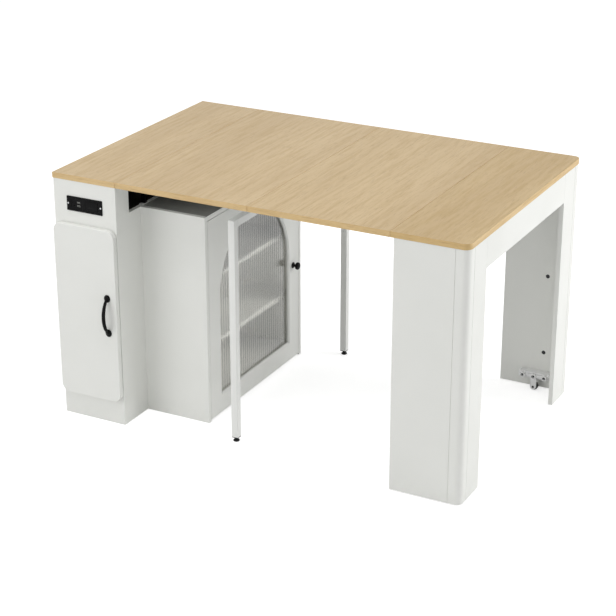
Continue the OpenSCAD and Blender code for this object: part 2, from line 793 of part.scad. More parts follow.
module middle_saddles() color(STEEL) placed() both_ends() {
    saddle_x = middle_x + tube / 2 - saddle_l / 2;
    rail_y0 = rail_y + rail_step;
    plate_y = rail_y0 + rail_t / 2 - saddle_plate_w / 2;
    board([saddle_x, plate_y, crossbar_top],
        [saddle_x + saddle_l, plate_y + saddle_plate_w, crossbar_top + saddle_plate_t]);
    board([saddle_x, rail_y0, crossbar_top], [saddle_x + saddle_l, rail_y0 + rail_t, rails_z]);
}

// Leg frame. Each leg is a front board, a rounded corner post and a narrow board

cam_r = 7.5;
cam_d = 12;
cam_fit = 0.05;
cam_in = 44;
cam_slot_w = 1.6;
cam_slot_l = 10;
cam_slot_d = 2;
cam_zs = [143, 442];
cam_x = corner_x - cam_in;

// Casters, drawn at the near leg
caster_mid_x = corner_x - caster_in - caster_l / 2;
caster_pitch = caster_l / 2 - caster_screw_in;
caster_seat = 12;
caster_screw_in_board = 12;
caster_screw_l = caster_seat + caster_screw_in_board;
caster_bore_r = 5;
cheek_t = 6;
cheek_in = 4;
cheek_r = wheel_r - cheek_in;
fork_set = 7;
pocket_gap = 0.5;
pocket_room = 1.5;
axle_fit = 0.02;
axle_head_r = 4.5;
axle_head_t = 1;
caster_face_y = board_t + caster_d;
fork_y1 = caster_face_y - fork_set;
pocket_y1 = fork_y1 - cheek_t;
pocket_y0 = pocket_y1 - wheel_w - 2 * pocket_gap;
fork_y0 = pocket_y0 - cheek_t;
caster_over = 31;
caster_block_z = wheel_r + caster_over;
caster_screw_z = caster_block_z + caster_h / 2;
caster_screw_xs = [for (i = [-1, 0, 1]) caster_mid_x + i * caster_pitch];

module leg_front() difference() {
    board([leg_x0, 0, leg_clear], [corner_x, board_t, carcass_h]);
    board([corner_x - groove, -cut, 0], [corner_x + cut, groove, top_h]);
    for (z = cam_zs) bar_y(cam_r + cam_fit, cam_x, z, board_t - cam_d, board_t + cut);
    for (x = caster_screw_xs)
        bar_y(screw_bore_r, x, caster_screw_z, board_t - caster_screw_l + caster_seat, board_t + cut);
}

module rounded_square(w, r) {
    square([w - r, w]);
    translate([0, r]) square([w, w - r]);
    translate([w - r, r]) circle(r, $fn = corner_fn);
}

module leg_corner() translate([corner_x, 0, leg_clear]) linear_extrude(carcass_h - leg_clear) difference() {
    rounded_square(leg_corner_w, leg_corner_r);
    translate([-cut, board_t]) rounded_square(leg_corner_w - board_t + cut, leg_corner_r - board_t);
}

module leg_narrow() difference() {
    board([leg_inner_x, leg_corner_w, leg_clear], [leg_x1, narrow_y, carcass_h]);
    board([leg_x1 - groove, 0, 0], [leg_x1 + cut, leg_corner_w + groove, top_h]);
}

module leg_front_near() color(WHITE) placed() leg_front();
module leg_front_far() color(WHITE) placed() far_end() leg_front();
module leg_corner_near() color(WHITE) placed() leg_corner();
module leg_corner_far() color(WHITE) placed() far_end() leg_corner();
module leg_narrow_near() color(WHITE) placed() leg_narrow();
module leg_narrow_far() color(WHITE) placed() far_end() leg_narrow();

module apron() color(WHITE) placed()
    board([leg_inner_x, narrow_y, apron_z], [leg_x1, depth - narrow_y, carcass_h]);

module leg_top() color(OAK) placed() translate([0, 0, carcass_h]) linear_extrude(top_t) {
    y0 = -top_lip;
    y1 = depth + top_lip;
    x1 = leg_x1 + top_lip;
    translate([leg_top_x, y0]) square([x1 - top_corner_r - leg_top_x, y1 - y0]);
    translate([leg_top_x, y0 + top_corner_r]) square([x1 - leg_top_x, y1 - y0 - 2 * top_corner_r]);
    for (y = [y0 + top_corner_r, y1 - top_corner_r])
        translate([x1 - top_corner_r, y]) circle(top_corner_r, $fn = corner_fn);
}

module caster_bracket() difference() {
    union() {
        board([caster_mid_x - caster_l / 2, board_t, caster_block_z],
            [caster_mid_x + caster_l / 2, caster_face_y, caster_block_z + caster_h]);
        bar_y(cheek_r, caster_mid_x, wheel_r, fork_y0, fork_y1);
        board([caster_mid_x - cheek_r, fork_y0, wheel_r],
            [caster_mid_x + cheek_r, fork_y1, caster_block_z + eps]);
    }
    bar_y(wheel_r + pocket_room, caster_mid_x, wheel_r, pocket_y0, pocket_y1);
    bar_y(axle_r + axle_fit, caster_mid_x, wheel_r, fork_y0 - cut, fork_y1 + cut);
    for (x = caster_screw_xs) {
        bar_y(screw_bore_r, x, caster_screw_z, board_t - cut, caster_face_y + cut);
        bar_y(caster_bore_r, x, caster_screw_z, board_t + caster_seat, caster_face_y + cut);
    }
}

module caster_brackets() color(GREY) placed() both_ends() caster_bracket();

module caster_axles() color(STEEL) placed() both_ends() {
    bar_y(axle_r, caster_mid_x, wheel_r, fork_y0, fork_y1 + eps);
    bar_y(axle_head_r, caster_mid_x, wheel_r, fork_y1, fork_y1 + axle_head_t);
}

module caster_wheel() difference() {
    y0 = pocket_y0 + pocket_gap;
    bar_y(wheel_r, caster_mid_x, wheel_r, y0, y0 + wheel_w);
    bar_y(axle_r + axle_gap, caster_mid_x, wheel_r, y0 - cut, y0 + wheel_w + cut);
}

module caster_wheel_near() color(GREY) placed() caster_wheel();
module caster_wheel_far() color(GREY) placed() far_end() caster_wheel();

// The screws of the casters and the round cam locks that hold the corners
module leg_fittings() color(STEEL) placed() both_ends() {
    for (x = caster_screw_xs)
        translate([x, board_t + caster_seat, caster_screw_z]) rotate([90, 0, 0]) screw(caster_screw_l);
    for (z = cam_zs) difference() {
        bar_y(cam_r, cam_x, z, board_t - cam_d, board_t);
        for (turn = [45, 135]) translate([cam_x, board_t, z]) rotate([0, turn, 0])
            board([-cam_slot_l / 2, -cam_slot_d, -cam_slot_w / 2], [cam_slot_l / 2, cut, cam_slot_w / 2]);
    }
}

// Loose leaves, each with four blocks glued under it that keep it between the rails

block_l = 60;
block_w = 20;
block_h = 16;
block_gap = 2;
block_y = rail_y + 4 * rail_step + block_gap;

module leaf(i) {
    x0 = end_w + seam + i * (leaf_w + seam);
    board([x0, -top_lip, carcass_h], [x0 + leaf_w, depth + top_lip, top_h]);
    for (x = [x0 + leaf_w / 4, x0 + 3 * leaf_w / 4]) both_ends()
        board([x - block_l / 2, block_y, carcass_h - block_h],
            [x + block_l / 2, block_y + block_w, carcass_h + eps]);
}

module leaf_1() color(OAK) placed() leaf(0);
module leaf_2() color(OAK) placed() leaf(1);

end_left_side();
end_inner_side();
outlet_fascia();
plinth_rail();
far_end_panel();
end_bottom();
end_ceiling();
end_shelf_lower();
end_shelf_upper();
shelf_pins();
fixed_top();
rail_bearer();
rail_brackets();
fixed_rails();
outlet_plate();
socket_insert();
outlet_housing();
outlet_screws();
recess_front_panel();
recess_back_panel();
recess_bottom();
recess_toe_board();
recess_top();
recess_top_lip();
recess_shelf_lower();
recess_shelf_upper();
hinge_arms();
end_door();
bow_handle();
handle_screws();
end_hinge_cups();
glass_door();
fluted_glass();
glazing_clips();
door_knob();
knob_screw();
glass_hinge_cups();
middle_leg_near();
middle_leg_far();
middle_crossbar();
middle_glides();
middle_saddles();
first_rails();
second_rails();
leg_top();
leg_front_near();
leg_front_far();
leg_corner_near();
leg_corner_far();
leg_narrow_near();
leg_narrow_far();
apron();
leg_rails();
caster_brackets();
caster_axles();
leg_fittings();
caster_wheel_near();
caster_wheel_far();
leaf_1();
leaf_2();
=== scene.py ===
"""The looks of an extending kitchen island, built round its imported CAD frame.

Every size is in metres, and MM turns millimetres into metres.
"""

import json
import logging
import math
from collections.abc import Callable, Iterator, Sequence
from contextlib import contextmanager
from dataclasses import dataclass
from enum import Enum

import bmesh
import bpy
from mathutils import Matrix, Vector


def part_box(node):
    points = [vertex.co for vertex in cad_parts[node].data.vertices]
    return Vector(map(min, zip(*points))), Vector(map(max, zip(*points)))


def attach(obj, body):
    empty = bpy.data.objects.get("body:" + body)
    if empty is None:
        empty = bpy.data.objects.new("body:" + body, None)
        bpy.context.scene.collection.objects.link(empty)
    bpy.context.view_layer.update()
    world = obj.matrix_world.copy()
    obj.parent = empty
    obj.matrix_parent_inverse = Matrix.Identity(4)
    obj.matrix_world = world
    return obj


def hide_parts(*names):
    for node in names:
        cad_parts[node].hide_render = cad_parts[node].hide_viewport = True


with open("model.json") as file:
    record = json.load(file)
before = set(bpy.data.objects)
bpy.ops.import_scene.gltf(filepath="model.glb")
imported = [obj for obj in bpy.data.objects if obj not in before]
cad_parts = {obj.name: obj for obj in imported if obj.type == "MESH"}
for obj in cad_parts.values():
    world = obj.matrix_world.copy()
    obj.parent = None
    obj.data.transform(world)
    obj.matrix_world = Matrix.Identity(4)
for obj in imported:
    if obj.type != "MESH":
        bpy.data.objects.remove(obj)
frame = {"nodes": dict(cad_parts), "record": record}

LOG = logging.getLogger("kitchen_island")
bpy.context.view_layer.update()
MM = 0.001
NEAR_ENOUGH = 0.01 * MM
UP = (0.0, 0.0, 1.0)

Colour = tuple[float, float, float]
Point = Sequence[float]
Profile = Sequence[tuple[float, float]]
Span = float | tuple[float, float]
Piece = bpy.types.Object
Node = bpy.types.Node
Socket = bpy.types.NodeSocket
Sockets = dict[str, Socket]
Value = Socket | float | Sequence[float]
EdgeTest = Callable[[Vector, Vector], bool]
PartTest = Callable[[object], bool]


class Slot(Enum):
    """The material slots of the record."""

    WHITE_BOARD = "white_board"
    WHITE_STEEL = "white_steel"
    OAK_TOP = "oak_top"
    OAK_BATTEN = "oak_batten"
    DARK_BOARD = "dark_board"
    BLACK_PLASTIC = "black_plastic"
    BLACK_METAL = "black_metal"
    ZINC = "zinc"
    RAIL_STEEL = "rail_steel"
    DARK_FITTING = "dark_fitting"
    RIBBED_GLASS = "ribbed_glass"
    BLACK_FOOT = "black_foot"
    GREY_NYLON = "grey_nylon"
    WHEEL_RUBBER = "wheel_rubber"


class End(Enum):
    """The two ends of the island: which way is inwards along Y."""

    NEAR = 1
    FAR = -1


SLOT_OF = {s["node"]: Slot(s["material_slot"]) for s in frame["record"]["subparts"]}
BODY_OF = {n: b for b, nodes in frame["record"]["behaviour"]["bodies"].items() for n in nodes}


def middle_of(node: str) -> Vector:
    """The middle of a CAD node's box."""
    low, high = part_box(node)
    return (low + high) / 2


def along(axis: str, least: float) -> EdgeTest:
    """The test for edges that reach further than a length along an axis."""
    return lambda a, b: abs(getattr(a, axis) - getattr(b, axis)) > least


def in_face(y: float) -> EdgeTest:
    """The test for edges that lie in the upright plane at a place along Y."""
    return lambda a, b: max(abs(a.y - y), abs(b.y - y)) < NEAR_ENOUGH


class Bench:
    """Modelling steps, each one done with Blender's own operators."""

    @staticmethod
    def pick(*pieces: Piece) -> None:
        """Leaves edit mode and selects these pieces alone, or nothing, the first one active."""
        if bpy.context.object is not None and bpy.context.object.mode != "OBJECT":
            bpy.ops.object.mode_set(mode="OBJECT")
        bpy.ops.object.select_all(action="DESELECT")
        for piece in pieces:
            piece.select_set(True)
        if pieces:
            bpy.context.view_layer.objects.active = pieces[0]

    @staticmethod
    @contextmanager
    def editing(piece: Piece, parts: str = "VERT", chosen: PartTest | None = None) -> Iterator[None]:
        """Opens a piece in edit mode with all of it or some parts selected, and closes it again.

        Args:
            piece: the piece to edit.
            parts: EDGE or FACE, where only some are selected.
            chosen: tells which of them are selected; without it everything is.

        Yields:
            Nothing.
        """
        Bench.pick(piece)
        bpy.ops.object.mode_set(mode="EDIT")
        if chosen is None:
            bpy.ops.mesh.select_all(action="SELECT")
        else:
            bpy.ops.mesh.select_mode(type=parts)
            bpy.ops.mesh.select_all(action="DESELECT")
            shape = bmesh.from_edit_mesh(piece.data)
            for part in shape.edges if parts == "EDGE" else shape.faces:
                if chosen(part):
                    part.select_set(True)
            bmesh.update_edit_mesh(piece.data)
        yield
        bpy.ops.object.mode_set(mode="OBJECT")

    @staticmethod
    def modify(piece: Piece, kind: str, **settings: object) -> None:
        """Adds a modifier of a kind with its settings, and applies it."""
        Bench.pick(piece)
        modifier = piece.modifiers.new(kind, kind)
        for key, value in settings.items():
            setattr(modifier, key, value)
        bpy.ops.object.modifier_apply(modifier=modifier.name)

    @staticmethod
    def settle(piece: Piece, name: str) -> Piece:
        """Moves the piece's place, turn and size into its mesh and names it."""
        Bench.pick(piece)
        bpy.ops.object.transform_apply(location=True, rotation=True, scale=True)
        piece.name = piece.data.name = name
        return piece

    @staticmethod
    def block(name: str, low: Point, high: Point) -> Piece:
        """A block from its lowest to its highest corner."""
        Bench.pick()
        size = Vector(high) - Vector(low)
        bpy.ops.mesh.primitive_cube_add(size=1, location=Vector(low) + size / 2)
        bpy.context.object.scale = size
        return Bench.settle(bpy.context.object, name)

    @staticmethod
    def around(name: str, at: Vector, *spans: Span) -> Piece:
        """A block round a place, given along each axis by its two ends or by half its width."""
        low, high = zip(*(span if isinstance(span, tuple) else (-span, span) for span in spans))
        return Bench.block(name, at + Vector(low), at + Vector(high))

    @staticmethod
    def rod(name: str, radius: float, start: Vector, end: Vector, sides: int = 48) -> Piece:
        """A round bar from one point to another."""
        Bench.pick()
        run = end - start
        bpy.ops.mesh.primitive_cylinder_add(
            vertices=sides, radius=radius, depth=run.length, location=start + run / 2,
            rotation=run.to_track_quat("Z", "Y").to_euler())
        return Bench.settle(bpy.context.object, name)

    @staticmethod
    def turned(name: str, profile: Profile, base: Point, axis: Point, sides: int = 48) -> Piece:
        """A turned shape, extruded ring by ring from a filled circle.

        Args:
            name: the piece's name.
            profile: steps of radius and height along the axis.
            base: where height nought lies.
            axis: the direction of the axis.
            sides: how many faces go round.

        Returns:
            The closed piece.
        """
        Bench.pick()
        radius, height = profile[0]
        bpy.ops.mesh.primitive_circle_add(
            vertices=sides, radius=radius, fill_type="NGON", location=(0, 0, height))
        piece = Bench.settle(bpy.context.object, name)
        with Bench.editing(piece):
            for next_radius, next_height in profile[1:]:
                bpy.ops.mesh.extrude_region_move(
                    TRANSFORM_OT_translate={"value": (0, 0, next_height - height)})
                ratio = next_radius / radius
                bpy.ops.transform.resize(value=(ratio, ratio, 1), center_override=(0, 0, next_height))
                radius, height = next_radius, next_height
        Bench.outwards(piece)
        turn = Vector(axis).to_track_quat("Z", "Y").to_matrix().to_4x4()
        piece.matrix_world = Matrix.Translation(Vector(base)) @ turn
        return Bench.settle(piece, name)

    @staticmethod
    def outwards(piece: Piece) -> None:
        """Merges doubled points and turns every face outwards."""
        with Bench.editing(piece):
            bpy.ops.mesh.remove_doubles(threshold=0.001 * MM)
            bpy.ops.mesh.normals_make_consistent(inside=False)

    @staticmethod
    def round_edges(piece: Piece, width: float, segments: int, chosen: EdgeTest) -> None:
        """Rounds the edges whose two ends pass a test.

        Args:
            piece: the piece to shape.
            width: how far the rounding reaches from the edge.
            segments: how many faces make the rounding.
            chosen: tells from an edge's two ends whether it is rounded.
        """
        with Bench.editing(piece, "EDGE", lambda edge: chosen(edge.verts[0].co, edge.verts[1].co)):
            bpy.ops.mesh.bevel(offset=width, segments=segments, profile=0.5, affect="EDGES")

    @staticmethod
    def soften(piece: Piece, width: float, segments: int = 2, angle: float = 40.0) -> Piece:
        """Takes the sharpness off edges that turn by more than an angle, and keeps flat faces flat."""
        Bench.modify(piece, "BEVEL", width=width, segments=segments, limit_method="ANGLE",
                     angle_limit=math.radians(angle))
        Bench.smooth(piece)
        Bench.modify(piece, "WEIGHTED_NORMAL", keep_sharp=True)
        return piece

    @staticmethod
    def smooth(piece: Piece, angle: float = 35.0) -> Piece:
        """Shades the piece smooth where its faces meet at less than an angle."""
        Bench.pick(piece)
        bpy.ops.object.shade_smooth_by_angle(angle=math.radians(angle))
        return piece

    @staticmethod
    def combine(piece: Piece, operation: str, *others: Piece) -> Piece:
        """Cuts, joins or overlaps the piece with others, which are used up.

        Args:
            piece: the piece that stays.
            operation: DIFFERENCE, UNION or INTERSECT.
            others: the shapes to combine with it.

        Returns:
            The piece.
        """
        for other in others:
            Bench.modify(piece, "BOOLEAN", operation=operation, solver="EXACT", object=other)
            bpy.data.objects.remove(other)
        return piece

    @staticmethod
    def cut_cross(piece: Piece, at: Vector, turn: float, *spans: Span) -> Piece:
        """Cuts a cross into a head whose axis lies along Y.

        Args:
            piece: the head.
            at: the middle of the cross.
            turn: how far the cross is turned, in degrees.
            spans: the size of an arm along X, Y and Z before it is turned.

        Returns:
            The head.
        """
        for angle in (turn, turn + 90):
            arm = Bench.around("arm", Vector(), *spans)
            arm.data.transform(Matrix.Translation(at) @ Matrix.Rotation(math.radians(angle), 4, "Y"))
            Bench.combine(piece, "DIFFERENCE", arm)
        return piece

    @staticmethod
    def together(name: str, *pieces: Piece) -> Piece:
        """Puts separate shapes into one object."""
        Bench.pick(*pieces)
        if len(pieces) > 1:
            bpy.ops.object.join()
        return Bench.settle(bpy.context.object, name)

    @staticmethod
    def from_frame(node: str, name: str) -> Piece:
        """A copy of a CAD node, merged and cleaned so that it can be worked on."""
        piece = bpy.data.objects.new(name, frame["nodes"][node].data.copy())
        bpy.context.scene.collection.objects.link(piece)
        Bench.pick(piece)
        bpy.ops.mesh.customdata_custom_splitnormals_clear()
        with Bench.editing(piece):
            bpy.ops.mesh.remove_doubles(threshold=NEAR_ENOUGH)
            bpy.ops.mesh.dissolve_limited(angle_limit=math.radians(1))
        piece.data.materials.clear()
        return piece


class Sheet:
    """A node tree that is being wired."""

    def __init__(self, tree: bpy.types.NodeTree) -> None:
        """Keeps the tree."""
        self.tree = tree

    def add(self, kind: str, **settings: object) -> Node:
        """Adds a node of a kind and sets its properties."""
        node = self.tree.nodes.new(f"ShaderNode{kind}")
        for key, value in settings.items():
            setattr(node, key, value)
        return node

    def feed(self, socket: Socket, value: Value) -> None:
        """Links a socket to another, or gives it a plain value."""
        if isinstance(value, Socket):
            self.tree.links.new(value, socket)
        else:
            socket.default_value = value

    def give(self, node: Node, **values: Value) -> Node:
        """Gives a node's inputs their values by name, underscores standing for spaces."""
        for name, value in values.items():
            self.feed(node.inputs[name.replace("_", " ")], value)
        return node

    def math(self, operation: str, first: Value, second: Value = 0.0, clamp: bool = False) -> Socket:
        """The result of one sum."""
        node = self.add("Math", operation=operation, use_clamp=clamp)
        self.feed(node.inputs[0], first)
        self.feed(node.inputs[1], second)
        return node.outputs[0]

    def times(self, first: Value, second: Value) -> Socket:
        """Two values multiplied."""
        return self.math("MULTIPLY", first, second)

    def either(self, test: Socket, first: Value, second: Value) -> Socket:
        """The first value where a test is one, and the second where it is nought."""
        return self.math("ADD", self.times(first, test), self.times(second, self.math("SUBTRACT", 1.0, test)))

    def scaled(self, vector: Value, by: Point) -> Socket:
        """A vector stretched, as a pattern's own coordinates."""
        return self.give(self.add("Mapping"), Vector=vector, Scale=by).outputs[0]

    def noise(self, vector: Value, scale: Value, detail: float = 2.0, roughness: float = 0.5) -> Socket:
        """The value of a noise pattern."""
        node = self.give(self.add("TexNoise"), Vector=vector, Scale=scale, Detail=detail, Roughness=roughness)
        return node.outputs["Fac"]

    def span(self, value: Value, low: float, high: float,
             out_low: Value = 0.0, out_high: Value = 1.0) -> Socket:
        """A value taken softly from one range into another."""
        node = self.add("MapRange", interpolation_type="SMOOTHSTEP")
        self.give(node, Value=value, From_Min=low, From_Max=high, To_Min=out_low, To_Max=out_high)
        return node.outputs["Result"]

    def blend(self, factor: Value, first: Value, second: Value, kind: str = "MIX") -> Socket:
        """Two colours mixed by a factor."""
        node = self.add("Mix", data_type="RGBA", blend_type=kind)
        self.feed(node.inputs[0], factor)
        for index, value in ((6, first), (7, second)):
            self.feed(node.inputs[index], value if isinstance(value, Socket) else (*value, 1.0))
        return node.outputs[2]

    def parts(self, vector: Value) -> Sequence[Socket]:
        """The X, Y and Z of a vector."""
        return self.give(self.add("SeparateXYZ"), Vector=vector).outputs

    def coords(self) -> Socket:
        """The piece's Object coordinates, in metres."""
        return self.add("TexCoord").outputs["Object"]

    def normal(self) -> Sequence[Socket]:
        """The three parts of the surface's direction in the piece's own space."""
        return self.parts(self.add("TexCoord").outputs["Normal"])

    def bump(self, height: Value, distance: float, strength: float) -> Socket:
        """A normal that follows a height."""
        return self.give(self.add("Bump"), Height=height, Distance=distance, Strength=strength).outputs[0]

    def effect(self, group: bpy.types.NodeTree, **values: Value) -> Sequence[Socket]:
        """Places a shared effect and gives it its values by name."""
        return self.give(self.add("Group", node_tree=group), **values).outputs


class Effects:
    """Surface effects that more than one finish uses, each a node group made once."""

    def __init__(self) -> None:
        """Makes the groups."""
        self.pebble = self._group("fine_pebble", "Vector Scale", "Height Cloud", self._pebble)
        self.edges = self._group("rubbed_edges", "Vector", "Mask", self._edges)
        self.dust = self._group("settled_dust", "Vector Reach", "Mask", self._dust)
        self.figure = self._group("wood_figure", "Vector Offset", "Tone Streak Pore Height", self._figure)
        self.drawn = self._group("drawn_lines", "Vector", "Line Blotch", self._drawn)
        self.scratches = self._group("hair_scratches", "Vector Scale", "Mask", self._scratches)

    @staticmethod
    def _group(name: str, takes: str, gives: str,
               fill: Callable[[Sheet, Sockets], Sockets]) -> bpy.types.NodeTree:
        """Makes one group.

        Args:
            name: the group's name.
            takes: its inputs, of which Vector is a vector and the others are values.
            gives: its outputs, all of them values.
            fill: wires the inside and returns what each output shows.

        Returns:
            The group's tree.
        """
        tree = bpy.data.node_groups.new(name, "ShaderNodeTree")
        for way, sockets in (("INPUT", takes), ("OUTPUT", gives)):
            for socket in sockets.split():
                kind = "Vector" if socket == "Vector" else "Float"
                tree.interface.new_socket(socket, in_out=way, socket_type=f"NodeSocket{kind}")
        shown = fill(Sheet(tree), tree.nodes.new("NodeGroupInput").outputs)
        Sheet(tree).give(tree.nodes.new("NodeGroupOutput"), **shown)
        return tree

    @staticmethod
    def _pebble(sheet: Sheet, given: Sockets) -> Sockets:
        """A fine pebbled skin and a slow cloudiness."""
        fine = sheet.noise(given["Vector"], given["Scale"], 3.0, 0.6)
        cloud = sheet.noise(given["Vector"], 4.0, 4.0, 0.55)
        return {"Height": fine, "Cloud": sheet.span(cloud, 0.3, 0.7)}

    @staticmethod
    def _edges(sheet: Sheet, given: Sockets) -> Sockets:
        """Where the surface leans away from the three main directions, broken up by noise."""
        x, y, z = (sheet.math("ABSOLUTE", part) for part in sheet.normal())
        flat = sheet.math("MAXIMUM", sheet.math("MAXIMUM", x, y), z)
        lean = sheet.span(flat, 0.90, 0.995, 1.0, 0.0)
        broken = sheet.span(sheet.noise(given["Vector"], 35.0, 3.0, 0.6), 0.35, 0.65, 0.35, 1.0)
        return {"Mask": sheet.times(lean, broken)}

    @staticmethod
    def _dust(sheet: Sheet, given: Sockets) -> Sockets:
        """Dust and scuffs that gather near the floor."""
        share = sheet.math("DIVIDE", sheet.parts(given["Vector"])["Z"], given["Reach"])
        low = sheet.math("SUBTRACT", 1.0, share, True)
        patchy = sheet.span(sheet.noise(given["Vector"], 26.0, 5.0, 0.65), 0.4, 0.75)
        return {"Mask": sheet.times(sheet.math("POWER", low, 2.0), patchy)}

    @staticmethod
    def _figure(sheet: Sheet, given: Sockets) -> Sockets:
        """Wood grain that runs along Y on the faces and along the length of the edges."""
        _, y, z = (sheet.math("ABSOLUTE", part) for part in sheet.normal())
        on_end = sheet.math("GREATER_THAN", y, 0.6)
        on_face = sheet.math("GREATER_THAN", z, 0.6)
        px, py, pz = sheet.parts(given["Vector"])
        across = sheet.either(on_face, px, pz)
        length = sheet.either(on_end, px, py)
        lines = sheet.give(sheet.add("CombineXYZ"), X=across, Y=length, Z=given["Offset"]).outputs[0]
        tone = sheet.noise(sheet.scaled(lines, (7.0, 0.7, 1.0)), 1.0, 3.0, 0.5)
        warp = sheet.noise(sheet.scaled(lines, (9.0, 1.3, 1.0)), 1.0, 2.0, 0.5)
        rings = sheet.math("ADD", sheet.times(across, 24.0), sheet.times(warp, 5.0))
        ring = sheet.math("POWER", sheet.math("FRACT", rings), 3.0)
        streak = sheet.noise(sheet.scaled(lines, (80.0, 5.5, 1.0)), 1.0, 5.0, 0.66)
        streaks = sheet.times(sheet.span(streak, 0.38, 0.70), 0.8)
        figured = sheet.math("ADD", streaks, sheet.times(ring, 0.22), True)
        pore = sheet.span(sheet.noise(sheet.scaled(lines, (420.0, 24.0, 1.0)), 1.0, 2.0, 0.5), 0.58, 0.68)
        height = sheet.math("SUBTRACT", sheet.times(streak, 0.3), sheet.times(pore, 0.7))
        return {"Tone": sheet.span(tone, 0.34, 0.66), "Streak": figured, "Pore": pore, "Height": height}

    @staticmethod
    def _drawn(sheet: Sheet, given: Sockets) -> Sockets:
        """Fine lines along X from drawing or brushing, and slow blotches."""
        line = sheet.noise(sheet.scaled(given["Vector"], (14.0, 1500.0, 1500.0)), 1.0, 3.0, 0.6)
        blotch = sheet.noise(given["Vector"], 60.0, 3.0, 0.55)
        return {"Line": line, "Blotch": sheet.span(blotch, 0.35, 0.65)}

    @staticmethod
    def _scratches(sheet: Sheet, given: Sockets) -> Sockets:
        """Thin scattered lines, bent by noise."""
        wander = sheet.give(sheet.add("TexNoise"), Vector=given["Vector"], Scale=30.0)
        bent = sheet.add("VectorMath", operation="ADD")
        sheet.feed(bent.inputs[0], sheet.scaled(given["Vector"], (1.0, 0.35, 0.6)))
        sheet.feed(bent.inputs[1], sheet.scaled(wander.outputs["Color"], (0.01, 0.01, 0.01)))
        cells = sheet.add("TexVoronoi", feature="DISTANCE_TO_EDGE")
        sheet.give(cells, Vector=bent.outputs[0], Scale=given["Scale"])
        thin = sheet.span(cells.outputs["Distance"], 0.004, 0.02, 1.0, 0.0)
        patchy = sheet.span(sheet.noise(given["Vector"], 18.0, 2.0), 0.5, 0.7)
        return {"Mask": sheet.times(thin, patchy)}


@dataclass(frozen=True)
class Finish:
    """What every finish has: its colour and its gloss."""

    colour: Colour
    roughness: float

    def material(self, slot: Slot, effects: Effects) -> bpy.types.Material:
        """Makes the material and lets the finish wire it.

        Args:
            slot: the record's slot, which also names the material.
            effects: the shared node groups.

        Returns:
            The material.
        """
        made = bpy.data.materials.new(slot.value)
        made.use_nodes = True
        made.diffuse_color = (*self.colour, 1.0)
        sheet, shader = Sheet(made.node_tree), made.node_tree.nodes["Principled BSDF"]
        sheet.give(shader, Base_Color=made.diffuse_color, Roughness=self.roughness)
        self.wire(sheet, shader, effects)
        return made

    def wire(self, sheet: Sheet, shader: Node, effects: Effects) -> None:
        """Wires the pattern; each finish has its own."""
        raise NotImplementedError


@dataclass(frozen=True)
class Laminate(Finish):
    """Satin laminate: a faint pebble, a slow cloudiness, rubbed edges and a little dust low down."""

    clouded: Colour
    rubbed: Colour
    dusty: Colour
    pebble: float = 900.0
    relief: float = 0.06 * MM
    specks: float = 0.4
    rubbing: float = 0.35
    dusting: float = 0.10
    dust_reach: float = 0.16

    def wire(self, sheet: Sheet, shader: Node, effects: Effects) -> None:
        """Wires colour, gloss and relief."""
        place = sheet.coords()
        skin = sheet.effect(effects.pebble, Vector=place, Scale=self.pebble)
        tone = sheet.blend(skin["Cloud"], self.colour, self.clouded)
        speck = sheet.span(sheet.noise(place, 420.0, 2.0, 0.7), 0.62, 0.72, 0.0, self.specks)
        tone = sheet.blend(speck, tone, self.clouded)
        edge = sheet.effect(effects.edges, Vector=place)["Mask"]
        tone = sheet.blend(sheet.times(edge, self.rubbing), tone, self.rubbed)
        dust = sheet.effect(effects.dust, Vector=place, Reach=self.dust_reach)["Mask"]
        tone = sheet.blend(sheet.times(dust, self.dusting), tone, self.dusty)
        gloss = sheet.span(skin["Cloud"], 0.0, 1.0, self.roughness - 0.05, self.roughness + 0.06)
        sheet.give(shader, Base_Color=tone, Roughness=sheet.math("ADD", gloss, sheet.times(dust, 0.2)),
                   Normal=sheet.bump(skin["Height"], self.relief, 0.6))


@dataclass(frozen=True)
class Wood(Finish):
    """Open-grained wood with streaks along it, fine pores, a plain backing underneath, and painted light that
    brightens its upright faces.
    """

    deep: Colour
    streaked: Colour
    pored: Colour
    backing: Colour
    ripe: Colour = (0.923, 0.895, 0.795)
    # painted light: a warm multiplier that makes the upright faces brighter than the top
    painted_side_light: Colour = (1.24, 1.20, 1.08)
    last_cut: float = 2.19
    relief: float = 0.12 * MM
    streaks: float = 0.62
    pores: float = 0.5

    def wire(self, sheet: Sheet, shader: Node, effects: Effects) -> None:
        """Wires colour, gloss and relief; the attribute cut tells the boards' pieces of veneer apart."""
        cut = sheet.add("Attribute", attribute_name="cut").outputs["Fac"]
        grain = sheet.effect(effects.figure, Vector=sheet.coords(), Offset=cut)
        tone = sheet.blend(grain["Tone"], self.colour, self.deep)
        tone = sheet.blend(sheet.times(grain["Streak"], self.streaks), tone, self.streaked)
        tone = sheet.blend(sheet.times(grain["Pore"], self.pores), tone, self.pored)
        ripeness = sheet.math("POWER", sheet.math("DIVIDE", cut, self.last_cut), 3.0)
        tone = sheet.blend(ripeness, tone, self.ripe, "MULTIPLY")
        # Painted light: upright faces are multiplied brighter and warmer than the top.
        upright = sheet.math("LESS_THAN", sheet.math("ABSOLUTE", sheet.normal()[2]), 0.6)
        tone = sheet.blend(upright, tone, self.painted_side_light, "MULTIPLY")
        under = sheet.math("LESS_THAN", sheet.normal()[2], -0.8)
        gloss = sheet.span(grain["Streak"], 0.0, 1.0, self.roughness - 0.04, self.roughness + 0.08)
        sheet.give(shader, Base_Color=sheet.blend(under, tone, self.backing), Roughness=gloss,
                   Normal=sheet.bump(grain["Height"], self.relief, 0.5))


